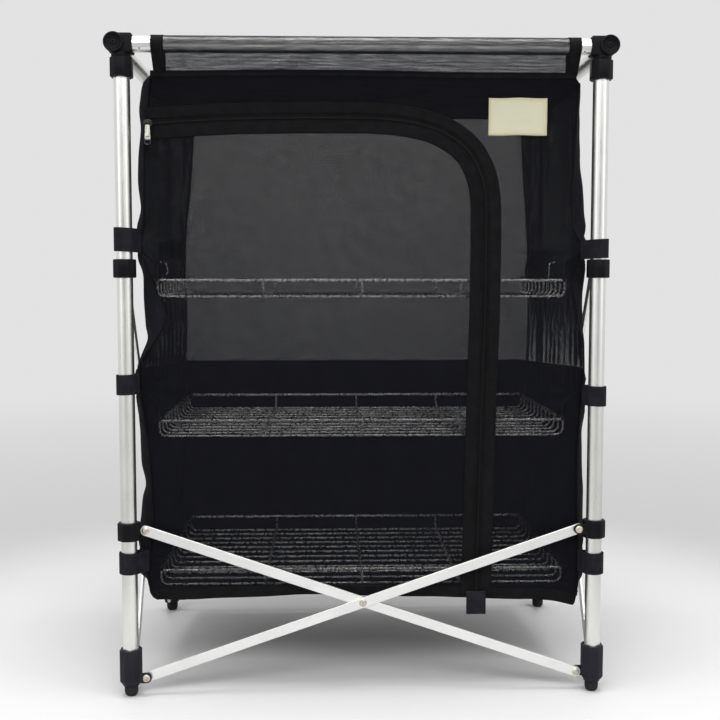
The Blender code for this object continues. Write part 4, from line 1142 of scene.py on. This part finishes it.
def band_finish(name, base, pitch=0.0011):
    """Ribbed binding or webbing: ribs across its length, with a faint nap."""
    material, tree, shader = finish(name, base, 0.80, Specular_IOR_Level=0.08, Sheen_Weight=0.010,
                                    Sheen_Roughness=0.5)
    length, width = both_ways(tree)
    ribs, warp = ridges(tree, length, pitch), ridges(tree, width, pitch * 0.7)
    nap = grain(tree, coords(tree), 90.0, 5.0)
    mixed = plus(tree, nap, times(tree, ribs, 0.10))
    feed(shader, "Base Color", shades(tree, mixed, [(0.28, tinted(base, 0.7)),
                                                    (0.72, tinted(base, 1.5))]))
    bumped(tree, shader, plus(tree, ribs, times(tree, times(tree, ribs, warp), 0.5)), 0.00012, 0.7)
    return material


BINDING = band_finish("black_grosgrain_binding", (0.0055, 0.0054, 0.0062))
WEBBING = band_finish("black_strap_webbing", (0.0130, 0.0124, 0.0160), 0.0016)


def sleeve_place(sy, start, end, radius):
    """Places round the rail's sleeve: u runs along the rail, v from the seam over the rail."""
    centre = Vector((sy * LEG_Y, RAIL_Z))
    foot = Vector((sy * (COVER_Y - 0.0002), SEAM_Z))
    gap = (foot - centre).length
    toward = math.atan2(foot.y - centre.y, foot.x - centre.x)
    open_angle = math.acos(radius / gap)
    straight = math.sqrt(gap * gap - radius * radius)
    arc = (2 * math.pi - 2 * open_angle) * radius
    total = 2 * straight + arc

    def on_rail(a):
        return centre + Vector((math.cos(a), math.sin(a))) * radius

    def place(u, v):
        x = start + (end - start) * u
        s = total * v
        if s < straight:
            y, z = foot.lerp(on_rail(toward - open_angle), s / straight)
        elif s < straight + arc:
            y, z = on_rail(toward - open_angle - (s - straight) / radius)
        else:
            y, z = on_rail(toward + open_angle).lerp(foot, (s - straight - arc) / straight)
        loose = eased(RAIL_Z - 0.004, SEAM_Z + 0.012, z) * eased(SEAM_Z, SEAM_Z + 0.006, z)
        return x, y + 0.0008 * soft(x, z * 0.4, 31.0 + sy, 0.030) * loose, z
    return place, total


def beside(line, i, out):
    """A place set off sideways from one point of a flat line."""
    before, after = line[max(i - 1, 0)], line[min(i + 1, len(line) - 1)]
    dx, dz = after[0] - before[0], after[1] - before[1]
    length = math.hypot(dx, dz)
    return line[i][0] - dz / length * out, line[i][1] + dx / length * out


def face_strip(name, line, width, lift, sy=-1, thickness=TAPE_T):
    """A strip of tape that follows the front or back panel along a flat line."""
    count = len(line) - 1
    across = width[1] - width[0]
    length = runs_of(line)[-1]

    def place(u, v):
        i = min(int(round(u * count)), count)
        x, z = beside(line, i, width[0] + across * v)
        return x, front_y(x, z, sy) + sy * lift, z

    blank = grid(count, max(int(round(across / 0.003)), 2), place,
                 lambda u, v: (length * u, width[0] + across * v))
    return cloth(name, blank, BINDING, thickness)


for sy, side, ends, band_ends in ((-1, "front", (-0.2466, 0.2562), (-0.2510, 0.2554)),
                                  (1, "back", (-0.2466, 0.2540), (-0.2470, 0.2500))):
    place, around = sleeve_place(sy, *ends, SLEEVE_R)
    length = ends[1] - ends[0]
    sleeve = cloth(f"header_sleeve_{side}", grid(150, 64, place, measured(length, around)),
                   HEADER_NET, NET_T, [f"cover_{side}"])
    line = []
    for i in range(ACROSS + 1):
        x = band_ends[0] + (band_ends[1] - band_ends[0]) * i / ACROSS
        line.append((x, SEAM_Z + 0.0020 * max(1 - ((x + 0.05) / 0.155) ** 2, 0.0)))
    band = face_strip(f"header_band_{side}", line, (-0.0042, 0.0036), 0.0009, sy, BAND_T)
    for end, start, stop in (("left", ends[0] - BINDING_OUT, ends[0] + BINDING_IN),
                             ("right", ends[1] - BINDING_IN, ends[1] + BINDING_OUT)):
        place, around = sleeve_place(sy, start, stop, SLEEVE_R + BINDING_T)
        blank = grid(6, 64, place, lambda u, v: (around * v, BINDING_W * u))
        bound = cloth(f"sleeve_binding_{side}_{end}", blank, BINDING, BINDING_T)

# Piping and hem: a thin corded piping is sewn into each corner seam, and a bound hem runs round the
# bottom of the cover.
PIPING_R = 0.0009
HEM_H, HEM_OUT = 0.014, 0.0005
for (sx, sy), seam in CORNER_SEAM.items():
    low = hem_z(sx * COVER_X, sy * COVER_Y)
    line = []
    for i in range(121):
        z = low + (SEAM_Z - SIDE_DROP[sx] - low) * i / 120
        line.append(Vector((sx * (seam(z) + 0.0004), sy * (COVER_Y + 0.0002), z)))
    make(f"piping_{corner_name(sx, sy)}", along(line, PIPING_R, 8), [BINDING])

for sign, side in ((-1, "left"), (1, "right")):
    place = side_place(sign, side_hem(sign), side_hem(sign, HEM_H), -HEM_OUT)
    hem = cloth(f"hem_{side}", grid(80, 5, place, measured(0.313, HEM_H)), BINDING, TAPE_T)


def hem_strip(name, sy, start, end):
    """The bound hem of the front or back, between two shares of its width."""
    def place(u, v):
        share = start + (end - start) * u
        z = hem_edge(sy, share) + HEM_H * v
        x = between_seams(sy, share, z)
        return x, front_y(x, z, sy) + sy * HEM_OUT, z

    blank = grid(int(round(ACROSS * (end - start))), 5, place,
                 measured(PANEL_W * (end - start), HEM_H))
    return cloth(name, blank, BINDING, TAPE_T)


# The share of the front's width where the zip ends and parts the hem.
split = (ZIP_POINTS[-1][0] + COVER_X) / (2 * COVER_X)
for name, sy, start, end, length, sewn_to in (
        ("hem_back", 1, 0.0, 1.0, 0.514, "back_cloth"),
        ("hem_front", -1, split + 0.003, 1.0, 0.120, "front_net"),
        ("hem_door", -1, 0.0, split - 0.003, 0.399, "door_net")):
    hem = hem_strip(name, sy, start, end)
draws_with_door(hem)

# Zip: a black coil zip between two grosgrain tapes. The outer tape is sewn to the cover and the
# inner one to the door, and a webbing tab hangs over its foot.
COIL = moulded("black_zip_coil", (0.0060, 0.0060, 0.0066), 0.40, 0.00002, 2500.0)
TOOTH_HALF, TOOTH_BACK, TOOTH_REACH, TOOTH_H = 0.00048, 0.0005, 0.0016, 0.0011
TOOTH_FACES = [(0, 1, 5, 4), (1, 2, 6, 5), (2, 3, 7, 6), (3, 0, 4, 7), (4, 5, 6, 7)]
teeth_line = smooth_line(ZIP_POINTS, 0.00075)


def zip_teeth(side):
    """Every second tooth, reaching over the zip's line from one side."""
    teeth = Blank([], [])
    foot = [(-TOOTH_HALF, -TOOTH_BACK * side), (TOOTH_HALF, -TOOTH_BACK * side),
            (TOOTH_HALF, TOOTH_REACH * side), (-TOOTH_HALF, TOOTH_REACH * side)]
    for i in range(1 if side > 0 else 2, len(teeth_line) - 1, 2):
        (ax, az), (x, z), (bx, bz) = teeth_line[i - 1:i + 2]
        angle = math.atan2(bz - az, bx - ax)
        cos, sin = math.cos(angle), math.sin(angle)
        y = front_y(x, z) - 0.0010
        ring = [(x + cos * u - sin * v, z + sin * u + cos * v) for u, v in foot]
        points = [(px, y, pz) for px, pz in ring]
        points += [(px + (x - px) * 0.2, y - TOOTH_H, pz + (z - pz) * 0.2) for px, pz in ring]
        teeth += Blank(points, TOOTH_FACES)
    return teeth


for side, name, length, net in ((1, "cover", 0.961, "front_net"), (-1, "door", 0.923, "door_net")):
    tape = face_strip(f"zip_tape_{name}", ZIP_LINE, sorted((side * 0.0045, side * 0.0185)), 0.0011)
    chain = face_strip(f"zip_chain_tape_{name}", ZIP_LINE, sorted((side * 0.0004, side * 0.0062)),
                       0.0006)
    coil = make(f"zip_coil_{name}", zip_teeth(side), [COIL])
    if side > 0:
        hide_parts("zip_tape")
    else:
        for piece in (tape, chain, coil):
            draws_with_door(piece)

# Stitching: black polyester thread, in short stitches that stand a little proud of the cloth. Two
# rows run along the zip's tapes and one along the header band and the hem.
NEAR_ROW, FAR_ROW = 0.0056, 0.0172
# Along a stitch: the share of its length, and there its size and its lift as shares of the thread.
STITCH_SHAPE = ((0.0, 0.5, -0.4), (0.2, 1.0, 0.5), (0.8, 1.0, 0.5), (1.0, 0.5, -0.4))


def stitches(line, length=0.0026, gap=0.0011, thick=0.00042):
    """Stitches along a line of points on the front."""
    done = Blank([], [])
    outward = Vector((0, -1, 0))
    runs = runs_of(line)
    i, start = 0, gap
    while start + length < runs[-1]:
        ends = []
        for s in (start, start + length):
            while i < len(runs) - 2 and runs[i + 1] < s:
                i += 1
            share = (s - runs[i]) / max(runs[i + 1] - runs[i], 1e-9)
            ends.append(line[i].lerp(line[i + 1], share))
        ahead = (ends[1] - ends[0]).normalized()
        across = ahead.cross(outward).normalized() * (thick / 2)
        rings = []
        for share, size, lift in STITCH_SHAPE:
            centre = ends[0].lerp(ends[1], share) + outward * (lift * thick)
            rings.append([centre + across * size, centre + outward * thick * 0.4 * size,
                          centre - across * size, centre - outward * thick * 0.4 * size])
        done += rows_of(rings)
        start += length + gap
    return done


def face_line(line, offset, lift):
    """A flat line set sideways and out from the front panel, as points."""
    places = [beside(line, i, offset) for i in range(len(line))]
    return [Vector((x, front_y(x, z) - lift, z)) for x, z in places]


def hem_line(start, end, count):
    """A line just below the top of the front hem, between two shares of its width."""
    line = []
    for i in range(count):
        share = start + (end - start) * i / (count - 1)
        z = hem_edge(-1, share) + HEM_H - 0.0018
        x = between_seams(-1, share, z)
        line.append(Vector((x, front_y(x, z) - 0.0008, z)))
    return line


THREAD = band_finish("black_thread", (0.011, 0.011, 0.013), 0.0004)
header_line = [(-0.2505 + 0.5055 * i / ACROSS, SEAM_Z - 0.0028) for i in range(ACROSS + 1)]
cover_sewn, door_sewn = Blank([], []), Blank([], [])
for row in (NEAR_ROW, FAR_ROW):
    cover_sewn += stitches(face_line(ZIP_LINE, row, 0.0015))
    door_sewn += stitches(face_line(ZIP_LINE[2:], -row, 0.0015))
cover_sewn += stitches(face_line(header_line, 0.0, 0.0013))
cover_sewn += stitches(hem_line(split + 0.004, 0.998, 60))
door_sewn += stitches(hem_line(0.002, split - 0.004, 160))
make("stitching_cover", cover_sewn, [THREAD])
draws_with_door(make("stitching_door", door_sewn, [THREAD]))

# Straps: twelve loops of 25 mm webbing, sewn into the corner seams, that go round the legs and keep
# the cover stretched.
WEBBING_T, STRAP_OUT = 0.0014, 0.0020
STRAP_W = {-1: (0.0280, 0.0240, 0.0256), 1: (0.0228, 0.0240, 0.0256)}
STRAP_TILT = (0.05, -0.03, 0.02)


def on_edge(path, height, thickness, tilt=0.0):
    """Flat webbing stood on edge along a level path, with softened selvedges."""
    deep, half = thickness / 2, height / 2
    e = thickness * 0.3
    section = [(-deep, -half + e), (-deep + e, -half), (deep - e, -half), (deep, -half + e),
               (deep, half - e), (deep - e, half), (-deep + e, half), (-deep, half - e)]
    rings, marks, run = [], [], 0.0
    for i, point in enumerate(path):
        before, after = path[max(i - 1, 0)], path[min(i + 1, len(path) - 1)]
        ahead = Vector((after.x - before.x, after.y - before.y, 0.0)).normalized()
        side = Vector((ahead.y, -ahead.x, 0.0))
        if i:
            run += (point - path[i - 1]).length
        lean = tilt * (point.x - path[0].x)
        rings.append([point + side * n + Vector((0, 0, z + lean)) for n, z in section])
        marks += [(run, z) for _, z in section]
    return rows_of(rings, marks=marks)


def loop_round_leg(sx, sy, z):
    """From the corner seam round the leg and back to the seam, pulled tight."""
    seam = Vector((sx * CORNER_SEAM[(sx, sy)](z), sy * COVER_Y, z))
    leg = Vector((sx * LEG_X, sy * LEG_Y, z))
    radius = TUBE_R + STRAP_OUT
    away = seam - leg
    toward = math.atan2(away.y, away.x)
    opening = math.acos(radius / away.length)
    path = [seam]
    for i in range(29):
        a = toward + opening + (2 * math.pi - 2 * opening) * i / 28
        path.append(leg + Vector((math.cos(a), math.sin(a), 0)) * radius)
    return path + [seam + Vector((0, sy * 0.0004, 0))]


STRAP_LEVELS = ("top", "middle", "bottom")
for sx, sy in CORNERS:
    for level, z, width, tilt in zip(STRAP_LEVELS, STRAP_Z[sx], STRAP_W[sx], STRAP_TILT):
        strap = on_edge(loop_round_leg(sx, sy, z), width, WEBBING_T, tilt * sx * -sy)
        make(f"strap_{level}_{corner_name(sx, sy)}", strap, [WEBBING])

# Tray hangers: a webbing tab sewn to the side panel carries a black nylon hook, and the tray's rim
# lies in the hook.
HOOK_Y = 0.1291
HOOK_W, HOOK_T = 0.0120, 0.0017
TAB_W = 0.0160
out_x, in_x = TRAY_X + RIM_WIRE_R + 0.0010, TRAY_X - RIM_WIRE_R - 0.0010
middle, reach = (out_x + in_x) / 2, (out_x - in_x) / 2
hook = [(out_x - 0.0002, 0.016), (out_x, 0.004)]
for i in range(9):
    a = -math.pi * i / 8
    hook.append((middle + reach * math.cos(a), -0.0004 + reach * math.sin(a)))
hook += [(in_x, 0.0042), (in_x - 0.0012, 0.0066)]
for sx, sy in CORNERS:
    flip = Matrix.Diagonal((sx, 1, 1, 1))
    for level in ("top", "middle"):
        rim_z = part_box(f"tray_{level}")[1][2] - RIM_WIRE_R
        wall = abs(side_x(sx, sy * HOOK_Y, rim_z + 0.044)) - 0.0010
        tab = [(wall, 0.046), (wall, 0.036), (out_x + (wall - out_x) * 0.4, 0.027), (out_x, 0.018),
               (out_x, 0.012)]
        for part, line, width, thickness, look in (("tab", tab, TAB_W, WEBBING_T, WEBBING),
                                                   ("hook", hook, HOOK_W, HOOK_T, NYLON)):
            path = [Vector((x, rim_z + z, 0)) for x, z in line]
            blank = on_edge(path, width, thickness).put(turn(90, 'X'), flip, shift(0, sy * HOOK_Y, 0))
            make(f"hanger_{part}_{level}_{corner_name(sx, sy)}", blank, [look])

# Middle wires: a thin bright wire hangs from each side's net at mid-depth, beside the top tray's
# end, and the right one hangs lower.
HANGING_WIRE_R = 0.0009
for sx, side, low_end in ((-1, "left", 0.5120), (1, "right", 0.4800)):
    wall = abs(side_x(sx, 0.0, 0.5280)) - 0.0004
    path = bent([(wall, 0.0, 0.5290), (0.2585, 0.0, 0.5270), (0.2570, 0.0, low_end + 0.0040),
                 (0.2590, 0.0, low_end)], [0.0025, 0.0030])
    wire = along(path, HANGING_WIRE_R, 10).put(Matrix.Diagonal((sx, 1, 1, 1)))
    make(f"middle_hook_{side}", wire, [WIRE_FINISH])

# Patch: a cream cotton patch, folded in and sewn on round its edge, with nothing on it. It is a
# little yellower at its edge and in faint stains.
PATCH_W, PATCH_H = 0.070, 0.044
PATCH, tree, shader = finish("cream_cotton_patch", (0.640, 0.620, 0.455), 0.85,
                             Specular_IOR_Level=0.2, Sheen_Weight=0.05)
across, up = both_ways(tree)
ribs, threads = ridges(tree, up, 0.00060), ridges(tree, across, 0.00045)


def near_end(distance, whole):
    """How far a place is from the nearer end of a length."""
    return calc(tree, 'MINIMUM', distance, calc(tree, 'SUBTRACT', whole, distance))


to_edge = calc(tree, 'MINIMUM', near_end(across, PATCH_W), near_end(up, PATCH_H))
stain = grain(tree, coords(tree), 32.0, 5.0)
shade = plus(tree, times(tree, ranged(tree, to_edge, 0.0, 1.0, 0.0, 0.006), 0.55),
             times(tree, stain, 0.45))
feed(shader, "Base Color", shades(tree, shade, [(0.10, (0.595, 0.555, 0.345)),
                                                (0.60, (0.630, 0.612, 0.435)),
                                                (0.95, (0.668, 0.655, 0.500))]))
bumped(tree, shader, plus(tree, ribs, times(tree, threads, 0.5)), 0.00010, 0.6)
low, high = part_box("label_patch")


def patch_place(u, v):
    """Places on the patch, whose edges wander and whose middle lifts a little."""
    x = low[0] + (high[0] - low[0]) * u + 0.0006 * soft(v, 0.0, 51.0, 0.35)
    z = low[2] + (high[2] - low[2]) * v + 0.0007 * soft(u, 0.0, 57.0, 0.35)
    lift = 0.0009 + 0.0008 * max(0.0, soft(u, v, 61.0, 0.45)) * min(u, 1 - u, v, 1 - v) * 6
    return x, front_y(x, z) - lift, z


patch = cloth("patch", grid(36, 24, patch_place, measured(PATCH_W, PATCH_H)), PATCH, 0.0006,
              ["label_patch"])
corners = ((0.02, 0.035), (0.98, 0.035), (0.98, 0.965), (0.02, 0.965))
patch_line = []
for (u0, v0), (u1, v1) in zip(corners, corners[1:] + corners[:1]):
    for i in range(30):
        u, v = u0 + (u1 - u0) * i / 30, v0 + (v1 - v0) * i / 30
        patch_line.append(Vector(patch_place(u, v)) - Vector((0, 0.0004, 0)))
CREAM_THREAD = band_finish("cream_thread", (0.50, 0.47, 0.33), 0.0004)
patch_sewn = make("patch_stitching", stitches(patch_line, 0.0016, 0.0008, 0.00030), [CREAM_THREAD])

# Zip foot: a webbing tab, folded double and sewn over the end of the zip, so that it hangs a little
# below the hem.
low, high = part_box("zip_tab")
tab = block((low[0], low[1] - 0.0002, low[2]), high, 0.0006, 2)
tab.marks = [(p.x, p.z) for p in tab.points]
make("zip_foot_tab", tab, [WEBBING], nodes=["zip_tab"])

# Zip slider: a cast body in black enamel with a bail over it, and a stamped pull with worn plating
# that hangs from the bail by its eye and carries a black ring at its end.
ENAMEL = moulded("black_enamel", (0.0070, 0.0070, 0.0078), 0.28, 0.00001, 900.0, 0.5)
PLATE = plated("worn_plated_pull", (0.62, 0.61, 0.53), 0.34, 500.0,
               [(0.30, (0.50, 0.49, 0.40)), (0.65, (0.74, 0.74, 0.66))], (0.26, 0.46), 0.00003)


def tapered(low_half, low, high_half, high):
    """The outline of a plate that tapers from one half width to another."""
    return [(-low_half, low), (low_half, low), (high_half, high), (-high_half, high)]


def hoop(radius, wire_r, count, sides, z, way):
    """A closed ring of wire about a height; way points along its level diameter."""
    angles = [2 * math.pi * i / count for i in range(count)]
    return along([Vector(way) * (radius * math.cos(a)) + Vector((0, 0, z + radius * math.sin(a)))
                  for a in angles], wire_r, sides, closed=True)


low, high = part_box("zip_slider")
zip_tilt = math.degrees(math.atan2(0.0069, 0.3082))
at = shift((low[0] + high[0]) / 2, high[1], (low[2] + high[2]) / 2)
shell = slab([(-0.0052, -0.0021), (-0.0030, -0.0041), (0.0014, -0.0043), (0.0046, -0.0030),
              (0.0052, 0.0), (0.0046, 0.0030), (0.0014, 0.0043), (-0.0030, 0.0041),
              (-0.0052, 0.0021)], 0.0026, 0.0007)
slider = shell.put(turn(90, 'X'), shift(0, -0.0015, 0))
bail = along(bent([(-0.0036, -0.0020, 0), (-0.0030, -0.0052, 0), (0.0030, -0.0052, 0),
                   (0.0036, -0.0020, 0)], [0.0012, 0.0012]), 0.0007, 10)
make("slider_shell", (slider + bail).put(turn(-zip_tilt, 'Y'), at), [ENAMEL], body="slider",
     nodes=["zip_slider"])

low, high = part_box("zip_pull")
pivot = shift((low[0] + high[0]) / 2, (low[1] + high[1]) / 2, high[2] - 0.0014)
blade = slab([(-0.0019, -0.0032), (-0.0026, -0.0042), (-0.0030, -0.0100), (-0.0035, -0.0184),
              (-0.0030, -0.0204), (0.0, -0.0211), (0.0030, -0.0204), (0.0035, -0.0184),
              (0.0030, -0.0100), (0.0026, -0.0042), (0.0019, -0.0032), (0.0, -0.0029)],
             0.0013, 0.00035)
neck = slab(tapered(0.0012, -0.0036, 0.0015, -0.0016), 0.0011, 0.0003)
ridge = slab(tapered(0.0012, -0.0150, 0.0008, -0.0062), 0.0019, 0.0003)
slot = slab(tapered(0.0020, -0.0176, 0.0020, -0.0167), 0.0016, 0.0001, 1)
eye = hoop(0.0015, 0.0006, 16, 8, -0.0004, (0, 1, 0))
ring = hoop(0.0032, 0.00080, 32, 10, -0.0228, (1, 0, 0))
pull = (blade + ridge + slot).put(turn(90, 'X')) + neck.put(turn(90, 'X')).with_look(1)
pull += eye.with_look(1) + ring.with_look(1)
make("pull_with_ring", pull.put(pivot), [PLATE, ENAMEL], body="pull", nodes=["zip_pull"])

# Drain holes: two small holes drilled in the front rail near its ends. The tube itself is whole, so
# each is shown as a small ring of black nylon on its skin: painted shade for the dark inside of
# the hole.
hole = turned([(0.0001, -0.0001), (0.0005, -0.0001), (0.0008, 0.0001), (0.0009, 0.0001)], 20)
for side, x, z in (("left", -0.2598, 0.7726), ("right", 0.2604, 0.7719)):
    angle = math.degrees(math.asin((z - RAIL_Z) / TUBE_R))
    on_skin = hole.put(shift(0, 0, TUBE_R - 0.00005), turn(90 - angle, 'X'))
    make(f"rail_hole_shade_{side}", on_skin.put(shift(x, -LEG_Y, RAIL_Z)), [NYLON])
